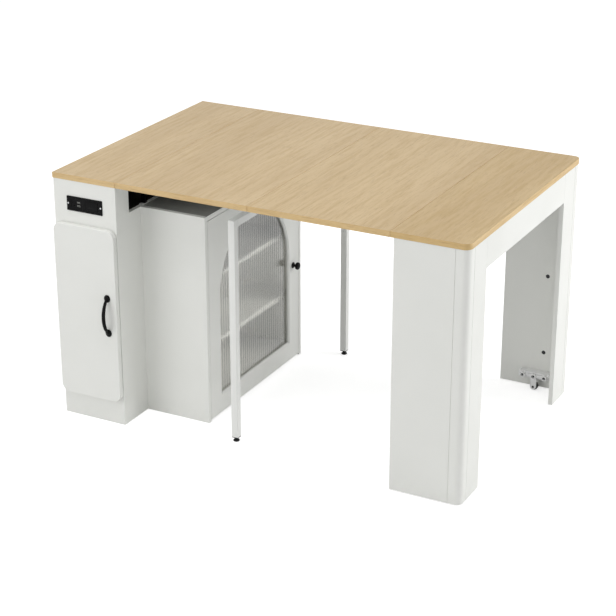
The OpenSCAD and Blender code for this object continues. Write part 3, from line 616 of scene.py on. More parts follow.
@dataclass(frozen=True)
class Coat(Finish):
    """Paint, powder coat or moulded plastic: a pebbled skin with fine scratches."""

    worn: Colour
    pebble: float
    relief: float
    scratched: float = 0.3
    metallic: float = 0.0
    shine: float = 0.5

    def wire(self, sheet: Sheet, shader: Node, effects: Effects) -> None:
        """Wires colour, gloss and relief."""
        place = sheet.coords()
        skin = sheet.effect(effects.pebble, Vector=place, Scale=self.pebble)
        marks = sheet.effect(effects.scratches, Vector=place, Scale=90.0)["Mask"]
        edge = sheet.effect(effects.edges, Vector=place)["Mask"]
        wear = sheet.math("ADD", sheet.times(marks, self.scratched), sheet.times(edge, 0.3), True)
        tone = sheet.blend(sheet.times(skin["Cloud"], 0.25), self.colour, self.worn)
        gloss = sheet.span(skin["Cloud"], 0.0, 1.0, self.roughness - 0.04, self.roughness + 0.07)
        sheet.give(shader, Metallic=self.metallic, Specular_IOR_Level=self.shine,
                   Base_Color=sheet.blend(wear, tone, self.worn),
                   Roughness=sheet.math("ADD", gloss, sheet.times(wear, 0.15)),
                   Normal=sheet.bump(skin["Height"], self.relief, 0.6))


@dataclass(frozen=True)
class Metal(Finish):
    """Bare or plated steel with drawn lines and slow blotches."""

    dull: Colour
    relief: float = 0.02 * MM

    def wire(self, sheet: Sheet, shader: Node, effects: Effects) -> None:
        """Wires colour, gloss and relief."""
        place = sheet.coords()
        lines = sheet.effect(effects.drawn, Vector=place)
        marks = sheet.effect(effects.scratches, Vector=place, Scale=70.0)["Mask"]
        tone = sheet.blend(sheet.times(lines["Blotch"], 0.6), self.colour, self.dull)
        gloss = sheet.span(lines["Line"], 0.3, 0.7, self.roughness - 0.08, self.roughness + 0.12)
        sheet.give(shader, Metallic=1.0, Base_Color=sheet.blend(sheet.times(marks, 0.4), tone, self.dull),
                   Roughness=gloss, Normal=sheet.bump(lines["Line"], self.relief, 0.5))


@dataclass(frozen=True)
class Glass(Finish):
    """Clear ribbed glass, with painted shade darkening its valleys. Shadow rays pass, so that what stands
    behind it is lit.
    """

    # painted shade: the colour of the rib valleys, darker than the clear ribs
    painted_valley_shade: Colour
    passed: Colour
    pitch: float
    middle_y: float
    haze: float = 12.0
    relief: float = 0.05 * MM

    def wire(self, sheet: Sheet, shader: Node, effects: Effects) -> None:
        """Wires haze, relief and the painted shade of the rib valleys, and lets shadow rays through."""
        place = sheet.coords()
        skin = sheet.effect(effects.pebble, Vector=place, Scale=self.haze)
        # The rib valleys are painted darker along the ribs' pitch: painted shade in the glass colour.
        off_middle = sheet.math("SUBTRACT", sheet.parts(place)["Y"], self.middle_y)
        ridge = sheet.math("ABSOLUTE", sheet.math("SINE", sheet.times(off_middle, math.pi / self.pitch)))
        sheet.give(shader, Transmission_Weight=1.0, IOR=1.5,
                   Base_Color=sheet.blend(sheet.span(ridge, 0.02, 0.40), self.painted_valley_shade, self.colour),
                   Roughness=sheet.span(skin["Cloud"], 0.0, 1.0, self.roughness, self.roughness + 0.04),
                   Normal=sheet.bump(skin["Height"], self.relief, 0.3))
        clear = sheet.give(sheet.add("BsdfTransparent"), Color=(*self.passed, 1.0))
        mix_shaders(sheet, sheet.add("LightPath").outputs["Is Shadow Ray"], shader, clear)


def mix_shaders(sheet: Sheet, share: Socket, first: Node, second: Node) -> None:
    """Shows one shader or another, by a share from nought to one.

    Args:
        sheet: the material's wiring.
        share: how much of the second shader shows.
        first: the shader where the share is nought.
        second: the shader where it is one.
    """
    mixed = sheet.add("MixShader")
    for index, value in enumerate((share, first.outputs[0], second.outputs[0])):
        sheet.feed(mixed.inputs[index], value)
    sheet.give(sheet.tree.nodes["Material Output"], Surface=mixed.outputs[0])


FINISHES: dict[Slot, Finish] = {
    Slot.WHITE_BOARD: Laminate(
        (0.845, 0.851, 0.815), 0.42, (0.828, 0.835, 0.798), (0.88, 0.88, 0.86), (0.60, 0.59, 0.55)),
    Slot.WHITE_STEEL: Coat((0.85, 0.856, 0.83), 0.36, (0.80, 0.805, 0.78), 1500.0, 0.05 * MM, 0.15),
    Slot.OAK_TOP: Wood(
        (0.603, 0.452, 0.251), 0.46, (0.545, 0.400, 0.215), (0.465, 0.329, 0.168), (0.376, 0.255, 0.127),
        (0.76, 0.76, 0.74)),
    Slot.OAK_BATTEN: Wood(
        (0.58, 0.43, 0.24), 0.6, (0.52, 0.37, 0.20), (0.44, 0.30, 0.155), (0.37, 0.25, 0.13),
        (0.56, 0.41, 0.23)),
    Slot.DARK_BOARD: Laminate(
        (0.300, 0.302, 0.282), 0.50, (0.265, 0.268, 0.250), (0.36, 0.36, 0.34), (0.36, 0.36, 0.34)),
    Slot.BLACK_PLASTIC: Coat(
        (0.0030, 0.0030, 0.0032), 0.26, (0.010, 0.010, 0.010), 700.0, 0.03 * MM, 0.15, shine=0.08),
    Slot.BLACK_METAL: Coat(
        (0.0028, 0.0028, 0.0030), 0.38, (0.011, 0.011, 0.011), 1100.0, 0.06 * MM, 0.2, shine=0.08),
    Slot.ZINC: Metal((0.66, 0.67, 0.68), 0.30, (0.50, 0.51, 0.52)),
    Slot.RAIL_STEEL: Metal((0.60, 0.61, 0.62), 0.34, (0.46, 0.47, 0.48)),
    Slot.DARK_FITTING: Coat(
        (0.035, 0.035, 0.036), 0.40, (0.14, 0.14, 0.14), 800.0, 0.06 * MM, 0.4, metallic=0.7),
    Slot.RIBBED_GLASS: Glass(
        (0.99, 0.985, 0.965), 0.02, (0.46, 0.455, 0.44), (0.98, 0.97, 0.93), 15 * MM, 0.0265),
    Slot.BLACK_FOOT: Coat((0.010, 0.010, 0.011), 0.55, (0.05, 0.05, 0.05), 600.0, 0.10 * MM, 0.2, shine=0.2),
    Slot.GREY_NYLON: Coat((0.86, 0.86, 0.86), 0.48, (0.88, 0.88, 0.88), 500.0, 0.08 * MM, 0.2, shine=0.4),
    Slot.WHEEL_RUBBER: Coat(
        (0.050, 0.050, 0.052), 0.62, (0.14, 0.14, 0.135), 450.0, 0.12 * MM, 0.3, shine=0.3),
}


class Workshop:
    """Holds the materials and puts finished pieces in place on the frame."""

    def __init__(self) -> None:
        """Makes every material and dresses every CAD node with its own."""
        effects = Effects()
        self.materials = {slot: finish.material(slot, effects) for slot, finish in FINISHES.items()}
        for node, shape in frame["nodes"].items():
            for place in shape.material_slots:
                place.material = self.materials[SLOT_OF[node]]

    def install(self, piece: Piece, node: str, slot: Slot | None = None) -> Piece:
        """Gives a piece its finish, lets it ride on its body and stand for a CAD node.

        Args:
            piece: the finished piece.
            node: the CAD node that it stands for, which gives its body and finish.
            slot: another finish than the node's.

        Returns:
            The piece.
        """
        finish = slot or SLOT_OF[node]
        if not piece.data.materials:
            piece.data.materials.append(self.materials[finish])
        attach(piece, BODY_OF[node])
        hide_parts(node)
        LOG.info("%s: %d faces, on %s", piece.name, len(piece.data.polygons), BODY_OF[node])
        return piece

    def plain_board(self, node: str, arris: float, slot: Slot | None = None) -> Piece:
        """Makes a plain board afresh in a node's place, with its edges softened."""
        return self.install(Bench.soften(Bench.block(f"{node}_panel", *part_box(node)), arris), node, slot)

    def drilled_board(self, node: str, arris: float) -> Piece:
        """Softens the edges of a board whose holes, notches and grooves come from the frame."""
        return self.install(Bench.soften(Bench.from_frame(node, f"{node}_panel"), arris), node)


@dataclass
class Carcass:
    """The white boards of the end cabinet, the set-back body and the leg frame, with the end cabinet's
    ceiling made black as painted shade.
    """

    shop: Workshop
    arris: float = 0.7 * MM
    plain: tuple[str, ...] = (
        "plinth_rail", "end_bottom", "end_ceiling", "end_shelf_lower", "end_shelf_upper", "recess_bottom",
        "recess_toe_board", "recess_top", "recess_shelf_lower", "recess_shelf_upper", "rail_bearer")
    drilled: tuple[str, ...] = (
        "end_left_side", "end_inner_side", "outlet_fascia", "far_end_panel", "recess_front_panel",
        "recess_back_panel", "leg_front_near", "leg_front_far", "leg_narrow_near", "leg_narrow_far")
    # end_ceiling is made black as painted shade: it stands for the deep shade in the notch under the top.
    black: tuple[str, ...] = ("end_ceiling",)
    lip_arris: float = 0.4 * MM
    stop_gap: float = 0.3 * MM
    corner_wall: float = 16 * MM
    corner_r: float = 23 * MM
    corner_steps: int = 14
    overcut: float = 10 * MM

    def build(self) -> None:
        """Makes the pale lip, the apron just clear of the closed rails, the other boards and the posts."""
        self.shop.plain_board("recess_top_lip", self.lip_arris)
        low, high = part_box("apron")
        apron = Bench.block("apron_panel", low + Vector((self.stop_gap, 0, 0)), high)
        self.shop.install(Bench.soften(apron, self.arris), "apron")
        for node in self.plain:
            # The boards listed as black get a black finish as painted shade.
            self.shop.plain_board(node, self.arris, Slot.BLACK_METAL if node in self.black else None)
        for node in self.drilled:
            self.shop.drilled_board(node, self.arris)
        for end, node in ((End.NEAR, "leg_corner_near"), (End.FAR, "leg_corner_far")):
            self.shop.install(self.corner_post(node, end), node)

    def corner_post(self, node: str, end: End) -> Piece:
        """An L-shaped post whose upright outer edge is rounded, outside and inside.

        Args:
            node: the post's CAD node.
            end: which end of the island it stands at.

        Returns:
            The post.
        """
        low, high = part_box(node)
        outer_y = low.y if end is End.NEAR else high.y
        wall_y = outer_y + end.value * self.corner_wall
        inner_y = sorted((wall_y, wall_y + end.value * (high.y - low.y)))
        inner_x = high.x - self.corner_wall
        post = Bench.block(f"{node}_post", low, high)
        self.round_upright(post, self.corner_r, high.x, outer_y)
        hollow = Bench.block("hollow", (low.x - self.overcut, inner_y[0], low.z - self.overcut),
                             (inner_x, inner_y[1], high.z + self.overcut))
        self.round_upright(hollow, self.corner_r - self.corner_wall, inner_x, wall_y)
        return Bench.soften(Bench.combine(post, "DIFFERENCE", hollow), self.arris)

    def round_upright(self, piece: Piece, radius: float, x: float, y: float) -> None:
        """Rounds the upright edge of a block that stands at a place."""
        Bench.round_edges(piece, radius, self.corner_steps,
                          lambda a, b: all(abs(p.x - x) + abs(p.y - y) < NEAR_ENOUGH for p in (a, b)))


@dataclass
class TableTop:
    """The oak boards of the top, each cut from another part of the veneer."""

    shop: Workshop
    thick: float = 20 * MM
    arris: float = 0.6 * MM
    corner: float = 25 * MM
    corner_segments: int = 14
    cut_step: float = 0.73
    block_y: float = 246 * MM
    block_half: tuple[float, float] = (30 * MM, 10 * MM)
    block_arris: float = 1.5 * MM

    def build(self) -> None:
        """Makes the four boards."""
        for order, node in enumerate(("fixed_top", "leaf_1", "leaf_2", "leg_top")):
            low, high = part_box(node)
            piece = Bench.block(f"{node}_board", (low.x, low.y, high.z - self.thick), high)
            if node == "leg_top":
                Bench.round_edges(piece, self.corner, self.corner_segments, lambda a, b: (
                    along("z", self.thick / 2)(a, b) and a.x > high.x - NEAR_ENOUGH))
            Bench.soften(piece, self.arris, 3)
            if node.startswith("leaf"):
                piece = Bench.together(piece.name, piece, *self.locating_blocks(low, high))
            layer = piece.data.attributes.new("cut", "FLOAT", "POINT")
            layer.data.foreach_set("value", [order * self.cut_step] * len(piece.data.vertices))
            self.shop.install(piece, node)

    def locating_blocks(self, low: Vector, high: Vector) -> list[Piece]:
        """The four glued blocks that keep a leaf between the rails."""
        quarter = (high.x - low.x) / 4
        foot = Vector(((low.x + high.x) / 2, (low.y + high.y) / 2, low.z))
        rise = (0.0, high.z - self.thick - low.z)
        return [Bench.soften(Bench.around("locating_block", foot + Vector((x, y, 0)), *self.block_half, rise),
                             self.block_arris, 3)
                for x in (-quarter, quarter) for y in (-self.block_y, self.block_y)]


@dataclass
class OutletPanel:
    """The black outlet: a socket on the left half, a sprung flap on the right, a screw at each end."""

    shop: Workshop
    plate_t: float = 3 * MM
    flap_rise: float = 1 * MM
    flap_seat: float = 1.5 * MM
    hollow_r: float = 9 * MM
    hollow_d: float = 0.6 * MM
    half_w: float = 46 * MM
    half_h: float = 34 * MM
    half_x: float = 31.75 * MM
    corner: float = 2.5 * MM
    lip: float = 0.8 * MM
    seam: float = 0.5 * MM
    socket_gap: float = 0.3 * MM
    socket_lip: float = 0.5 * MM
    slot_arris: float = 0.2 * MM
    slot_y: tuple[float, float] = (-2 * MM, 7 * MM)
    blade: tuple[float, float] = (2.2 * MM, 7.0 * MM)
    blade_xs: tuple[float, ...] = (-16.0 * MM, -7.0 * MM)
    blade_z: float = 3.6 * MM
    blade_field: tuple[float, float] = (18.5 * MM, 25 * MM)
    blade_field_y: tuple[float, float] = (-1 * MM, 0.8 * MM)
    earth: tuple[float, float] = (-11.5 * MM, -7.0 * MM)
    earth_r: float = 2.4 * MM
    port: tuple[float, float] = (13.2 * MM, 5.4 * MM)
    port_x: float = 8.0 * MM
    port_z: float = 6.2 * MM
    port_gap: float = 0.1 * MM
    port_wall: float = 0.6 * MM
    shell_y: tuple[float, float] = (0.3 * MM, 6.5 * MM)
    hollow_y: tuple[float, float] = (-1 * MM, 6 * MM)
    tongue_y: tuple[float, float] = (1.2 * MM, 6.2 * MM)
    shell_arris: float = 0.12 * MM
    tongue_arris: float = 0.1 * MM
    screw_r: float = 3.0 * MM

    def build(self) -> None:
        """Makes the plate, the flap, the socket and the two screws."""
        low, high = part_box("outlet_plate")
        size = high - low
        middle = Vector(((low.x + high.x) / 2, low.y + self.flap_rise, (low.z + high.z) / 2))
        left, right = (middle + Vector((side * self.half_x, 0, 0)) for side in (-1, 1))
        plate = self.cushion("outlet_face_plate", middle, size.x, size.z, 0, self.plate_t)
        opening = self.cushion("opening", left, self.half_w, self.half_h, -self.plate_t, 2 * self.plate_t)
        rebate = self.cushion("rebate", right, self.half_w + 2 * self.seam, self.half_h + 2 * self.seam,
                              -self.plate_t, self.flap_seat)
        Bench.combine(plate, "DIFFERENCE", opening, rebate)
        Bench.round_edges(plate, self.lip, 3, in_face(middle.y))
        self.shop.install(Bench.smooth(plate), "outlet_plate")
        self.shop.install(self.flap(right), "outlet_plate")
        self.shop.install(self.socket(left), "socket_insert")
        self.shop.install(self.ports(left), "socket_insert", Slot.DARK_BOARD)
        self.shop.install(self.screws(middle), "outlet_screws")

    def cushion(self, name: str, at: Vector, width: float, height: float, front: float, back: float) -> Piece:
        """A block with rounded corners seen from the front, between two depths behind a place."""
        piece = Bench.around(name, at, width / 2, (front, back), height / 2)
        Bench.round_edges(piece, self.corner, 6, along("y", (back - front) / 2))
        return piece

    def flap(self, at: Vector) -> Piece:
        """The raised flap with a shallow finger hollow along its foot."""
        piece = self.cushion("outlet_flap", at, self.half_w, self.half_h, -self.flap_rise, self.flap_seat)
        Bench.round_edges(piece, self.lip, 3, in_face(at.y - self.flap_rise))
        axis_y = self.hollow_d - self.hollow_r - self.flap_rise
        ends = (at + Vector((share * self.half_w, axis_y, -0.28 * self.half_h)) for share in (-0.3, 0.3))
        return Bench.smooth(Bench.combine(piece, "DIFFERENCE", Bench.rod("hollow", self.hollow_r, *ends, 96)))

    def socket(self, at: Vector) -> Piece:
        """The sunk socket with two blade slots, a round hole and the openings of two charging ports."""
        low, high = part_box("socket_insert")
        front = Vector((at.x, low.y, at.z))
        wide, tall = self.half_w - self.socket_gap, self.half_h - self.socket_gap
        piece = self.cushion("outlet_socket", front, wide, tall, 0, high.y - low.y)
        Bench.round_edges(piece, self.socket_lip, 3, in_face(front.y))
        earth_x, earth_z = self.earth
        field = front + Vector((earth_x, 0, 0))
        tools = [self.cushion("blade_field", field, *self.blade_field, *self.blade_field_y)]
        slots = [(x, self.blade_z, self.blade) for x in self.blade_xs]
        slots += [(self.port_x, z, self.port) for z in (-self.port_z, self.port_z)]
        for x, z, (width, height) in slots:
            tools.append(Bench.around("slit", front + Vector((x, 0, z)), width / 2, self.slot_y, height / 2))
        hole = (front + Vector((earth_x, y, earth_z)) for y in self.slot_y)
        tools.append(Bench.rod("earth", self.earth_r, *hole))
        return Bench.soften(Bench.combine(piece, "DIFFERENCE", *tools), self.slot_arris)

    def ports(self, at: Vector) -> Piece:
        """The grey shells of the two charging ports, each with its tongue."""
        front_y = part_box("socket_insert")[0].y
        half_x, half_z = (length / 2 - self.port_gap for length in self.port)
        in_x, in_z = half_x - self.port_wall, half_z - self.port_wall
        shells = []
        for z in (-self.port_z, self.port_z):
            middle = Vector((at.x + self.port_x, front_y, at.z + z))
            shell = Bench.around("shell", middle, half_x, self.shell_y, half_z)
            Bench.combine(shell, "DIFFERENCE", Bench.around("hollow", middle, in_x, self.hollow_y, in_z))
            tongue = Bench.around("tongue", middle, 0.8 * in_x, self.tongue_y, (0.1 * in_z, 0.8 * in_z))
            shells += [Bench.soften(shell, self.shell_arris), Bench.soften(tongue, self.tongue_arris)]
        return Bench.together("charging_port_shells", *shells)

    def screws(self, middle: Vector) -> Piece:
        """Two domed screw heads with a cross in each."""
        low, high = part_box("outlet_screws")
        r = self.screw_r
        profile = ((r, 0), (r, 0.5 * MM), (0.86 * r, 1.0 * MM), (0.5 * r, 1.3 * MM), (0.15 * r, 1.4 * MM))
        heads = []
        for x, turn in ((low.x + r, 20), (high.x - r, 65)):
            base = Vector((x, middle.y + 0.2 * MM, middle.z))
            head = Bench.turned("screw_head", profile, base, (0, -1, 0), 32)
            Bench.cut_cross(head, base - Vector((0, 0.7 * MM, 0)), turn, 0.6 * r, (-2 * MM, 0), 0.35 * MM)
            heads.append(Bench.smooth(head, 30))
        return Bench.together("outlet_screw_heads", *heads)


@dataclass
class EndDoor:
    """The door with round corners and its bow handle."""

    shop: Workshop
    face_round: float = 3.2 * MM
    arris: float = 0.6 * MM
    grip_half: tuple[float, float] = (10 * MM, 80 * MM)
    foot_r: float = 12 * MM
    foot_t: float = 7 * MM
    foot_tall: float = 1.15
    foot_sunk: float = 2 * MM
    pitch: float = 128 * MM
    bow_thick: float = 6.4 * MM
    bow_thin: float = 4.3 * MM
    bow_rings: int = 28

    def build(self) -> None:
        """Makes the door leaf and the handle."""
        face_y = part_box("end_door")[0].y
        door = Bench.from_frame("end_door", "end_door_leaf")
        grip = middle_of("bow_handle")
        Bench.round_edges(door, self.face_round, 5, lambda a, b: self.on_outline(a, b, face_y, grip))
        self.shop.install(Bench.soften(door, self.arris, 2, 50), "end_door")
        handle = self.handle(Vector((grip.x, face_y, grip.z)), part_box("bow_handle")[0].y)
        self.shop.install(handle, "bow_handle")

    def on_outline(self, a: Vector, b: Vector, face_y: float, grip: Vector) -> bool:
        """Tells whether an edge belongs to the outline of the door's face, not to the handle's holes."""
        near_grip = abs(a.x - grip.x) < self.grip_half[0] and abs(a.z - grip.z) < self.grip_half[1]
        return in_face(face_y)(a, b) and not near_grip

    def handle(self, middle: Vector, outer_y: float) -> Piece:
        """The bow, thick in the middle, on two domed feet.

        Args:
            middle: the point of the door's face behind the bow's middle.
            outer_y: how far out the bow reaches.

        Returns:
            The handle.
        """
        half = self.pitch / 2
        inner_y = outer_y + self.bow_thick
        rise = middle.y - self.foot_t + self.foot_sunk - inner_y
        radius = (half ** 2 + rise ** 2) / (2 * rise)
        reach = math.asin(half / radius)
        steps = [i / self.bow_rings for i in range(self.bow_rings + 1)]
        swell = self.bow_thick - self.bow_thin
        profile = [(self.bow_thin + swell * math.sin(math.pi * t) ** 0.8, t) for t in steps]
        bow = Bench.turned("handle_bow", profile, (0, 0, 0), UP, 32)
        for point in bow.data.vertices:
            turn = (2 * point.co.z - 1) * reach
            out = radius + point.co.x
            point.co = Vector((middle.x + point.co.y, inner_y + radius - out * math.cos(turn),
                               middle.z + out * math.sin(turn)))
        Bench.outwards(bow)
        r = self.foot_r
        dome = ((r - 0.6 * MM, 0), (r, 0.8 * MM), (r, 2.4 * MM), (0.97 * r, 3.4 * MM), (0.88 * r, 4.7 * MM),
                (0.72 * r, 5.9 * MM), (0.5 * r, 6.7 * MM), (0.25 * r, 7.0 * MM), (0.02 * r, 7.05 * MM))
        feet = []
        for place in (middle - Vector((0, 0, half)), middle + Vector((0, 0, half))):
            foot = Bench.turned("handle_foot", dome, place, (0, -1, 0))
            with Bench.editing(foot):
                bpy.ops.transform.resize(value=(1, 1, self.foot_tall), center_override=place)
            feet.append(foot)
        return Bench.smooth(Bench.together("bow_handle_cast", bow, *feet), 50)


@dataclass
class GlassDoor:
    """The framed door with an arched window of ribbed glass, and its knob."""

    shop: Workshop
    arris: float = 0.8 * MM
    pitch: float = 15 * MM
    rib: float = 0.5 * MM
    rib_steps: int = 10
    overcut: float = 10 * MM

    def build(self) -> None:
        """Makes the frame, the pane and the knob."""
        leaf = Bench.from_frame("glass_door", "glass_door_frame")
        self.shop.install(Bench.soften(leaf, self.arris), "glass_door")
        self.shop.install(self.pane(), "fluted_glass")
        self.shop.install(self.knob(), "door_knob")

    def pane(self) -> Piece:
        """The pane: a flat back and round ribs, cut to the arch."""
        low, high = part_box("fluted_glass")
        middle = (low + high) / 2
        count = math.ceil((high.y - low.y) / self.pitch)
        width = count * self.pitch
        Bench.pick()
        bpy.ops.mesh.primitive_grid_add(x_subdivisions=1, y_subdivisions=count * self.rib_steps, size=1,
                                        rotation=(0, math.pi / 2, 0))
        sheet = bpy.context.object
        sheet.scale = (high.z - low.z + 2 * self.overcut, width, 1)
        sheet.location = (high.x, middle.y, middle.z)
        Bench.settle(sheet, "fluted_pane")
        for point in sheet.data.vertices:
            share = ((point.co.y - middle.y + width / 2) / self.pitch) % 1.0
            if min(share, 1 - share) < 1e-3:
                share = 0.0
            point.co.x = high.x - self.rib * (1 - math.sin(math.pi * share))
        with Bench.editing(sheet):
            bpy.ops.mesh.extrude_region_move(TRANSFORM_OT_translate={"value": (-2 * self.overcut, 0, 0)})
            bpy.ops.transform.resize(value=(0, 1, 1), center_override=(low.x, 0, 0))
        Bench.outwards(sheet)
        arch_r = (high.y - low.y) / 2
        spring_z = high.z - arch_r
        back, front = low.x - self.overcut, high.x + self.overcut
        outline = Bench.block("outline", (back, low.y, low.z), (front, high.y, spring_z))
        arch = Bench.rod("arch", arch_r, *(Vector((x, middle.y, spring_z)) for x in (back, front)), 128)
        Bench.combine(outline, "UNION", arch)
        return Bench.smooth(Bench.combine(sheet, "INTERSECT", outline), 25)

    def knob(self) -> Piece:
        """The turned knob: a flange on the door, a waist and a domed head."""
        low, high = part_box("door_knob")
        head, reach = (high.y - low.y) / 2, high.x - low.x
        profile = [(share * head, height * MM) for share, height in (
            (0.80, 0), (0.82, 1.0), (0.80, 2.2), (0.66, 3.2), (0.46, 5.2), (0.37, 8.0), (0.37, 10.5),
            (0.46, 12.6), (0.72, 14.2), (0.92, 15.8), (1, 18.0), (1, 21.8), (0.93, 24.4), (0.78, 26.2),
            (0.52, 27.3))]
        profile += [(0.2 * head, 0.998 * reach), (0.01 * head, reach)]
        base = Vector((low.x, (low.y + high.y) / 2, (low.z + high.z) / 2))
        return Bench.smooth(Bench.turned("turned_knob", profile, base, (1, 0, 0), 64), 60)


@dataclass
class MiddleFrame:
    """The thin square-tube frame with its adjustable feet and the saddles that carry the first rails."""

    shop: Workshop
    legs: tuple[str, ...] = ("middle_leg_near", "middle_leg_far")
    corner: float = 2.2 * MM
    top_round: float = 1.0 * MM
    wall: float = 1.5 * MM
    hollow: float = 30 * MM
    saddle_arris: float = 0.6 * MM
    foot_r: float = 11 * MM
    neck_r: float = 5 * MM
    foot_h: float = 6 * MM
    glide_h: float = 18 * MM
    collar_h: float = 3 * MM
    collar_round: float = 0.8 * MM
    threads: int = 5
    thread_pitch: float = 1.3 * MM
    neck_clear: float = 1.6 * MM
    plug_in: float = 2 * MM
    plug_z: tuple[float, float] = (-0.1 * MM, 15 * MM)
    edge_least: float = 100 * MM

    def build(self) -> None:
        """Makes the legs, the cross tube, the feet and the saddles."""
        for node in self.legs:
            self.shop.install(self.leg(node), node)
        tube = Bench.block("cross_tube", *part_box("middle_crossbar"))
        Bench.round_edges(tube, self.corner, 4, along("y", self.edge_least))
        self.shop.install(Bench.smooth(tube), "middle_crossbar")
        feet = [self.glide(node) for node in self.legs]
        self.shop.install(Bench.together("adjustable_feet", *feet), "middle_glides")
        saddles = Bench.from_frame("middle_saddles", "rail_saddles")
        self.shop.install(Bench.soften(saddles, self.saddle_arris), "middle_saddles")

    def leg(self, node: str) -> Piece:
        """A square tube with round edges, hollow at its foot."""
        low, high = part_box(node)
        piece = Bench.block(f"{node}_tube", low, high)
        Bench.round_edges(piece, self.corner, 4, along("z", self.edge_least))
        Bench.round_edges(piece, self.top_round, 3, lambda a, b: min(a.z, b.z) > high.z - NEAR_ENOUGH)
        with Bench.editing(piece, "FACE", lambda face: face.normal.z < -0.9):
            bpy.ops.mesh.inset(thickness=self.wall)
            bpy.ops.mesh.extrude_region_move(TRANSFORM_OT_translate={"value": (0, 0, self.hollow)})
        return Bench.smooth(piece)

    def glide(self, leg: str) -> Piece:
        """One foot: a moulded pad on a threaded neck under a square collar, plugged into its leg."""
        low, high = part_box(leg)
        base = Vector(((low.x + high.x) / 2, (low.y + high.y) / 2, 0))
        half = (high.x - low.x) / 2
        collar_z = self.glide_h - self.collar_h
        pad = Bench.turned("pad", (
            (self.foot_r - 1.2 * MM, 0), (self.foot_r, 1.0 * MM), (self.foot_r, self.foot_h - 1.6 * MM),
            (self.foot_r - 1.4 * MM, self.foot_h - 0.3 * MM), (self.neck_r + 2 * MM, self.foot_h),
            (self.neck_r, self.foot_h + 1.2 * MM), (self.neck_r, collar_z)), base, UP)
        root, crest = self.neck_r - 0.2 * MM, self.neck_r + 0.5 * MM
        thread = ((root, 0), (crest, 0.45 * MM), (root, 0.9 * MM))
        first = self.foot_h + self.neck_clear
        threads = [Bench.turned("thread", thread, base + Vector((0, 0, first + i * self.thread_pitch)), UP)
                   for i in range(self.threads)]
        collar = Bench.around("collar", base, half, half, (collar_z, self.glide_h))
        Bench.round_edges(collar, self.corner, 4, along("z", 1 * MM))
        Bench.round_edges(collar, self.collar_round, 2, lambda a, b: max(a.z, b.z) < collar_z + 1 * MM)
        inside = half - self.plug_in
        plug = Bench.around("plug", base, inside, inside, tuple(self.glide_h + z for z in self.plug_z))
        return Bench.smooth(Bench.together("foot", pad, collar, plug, *threads), 40)


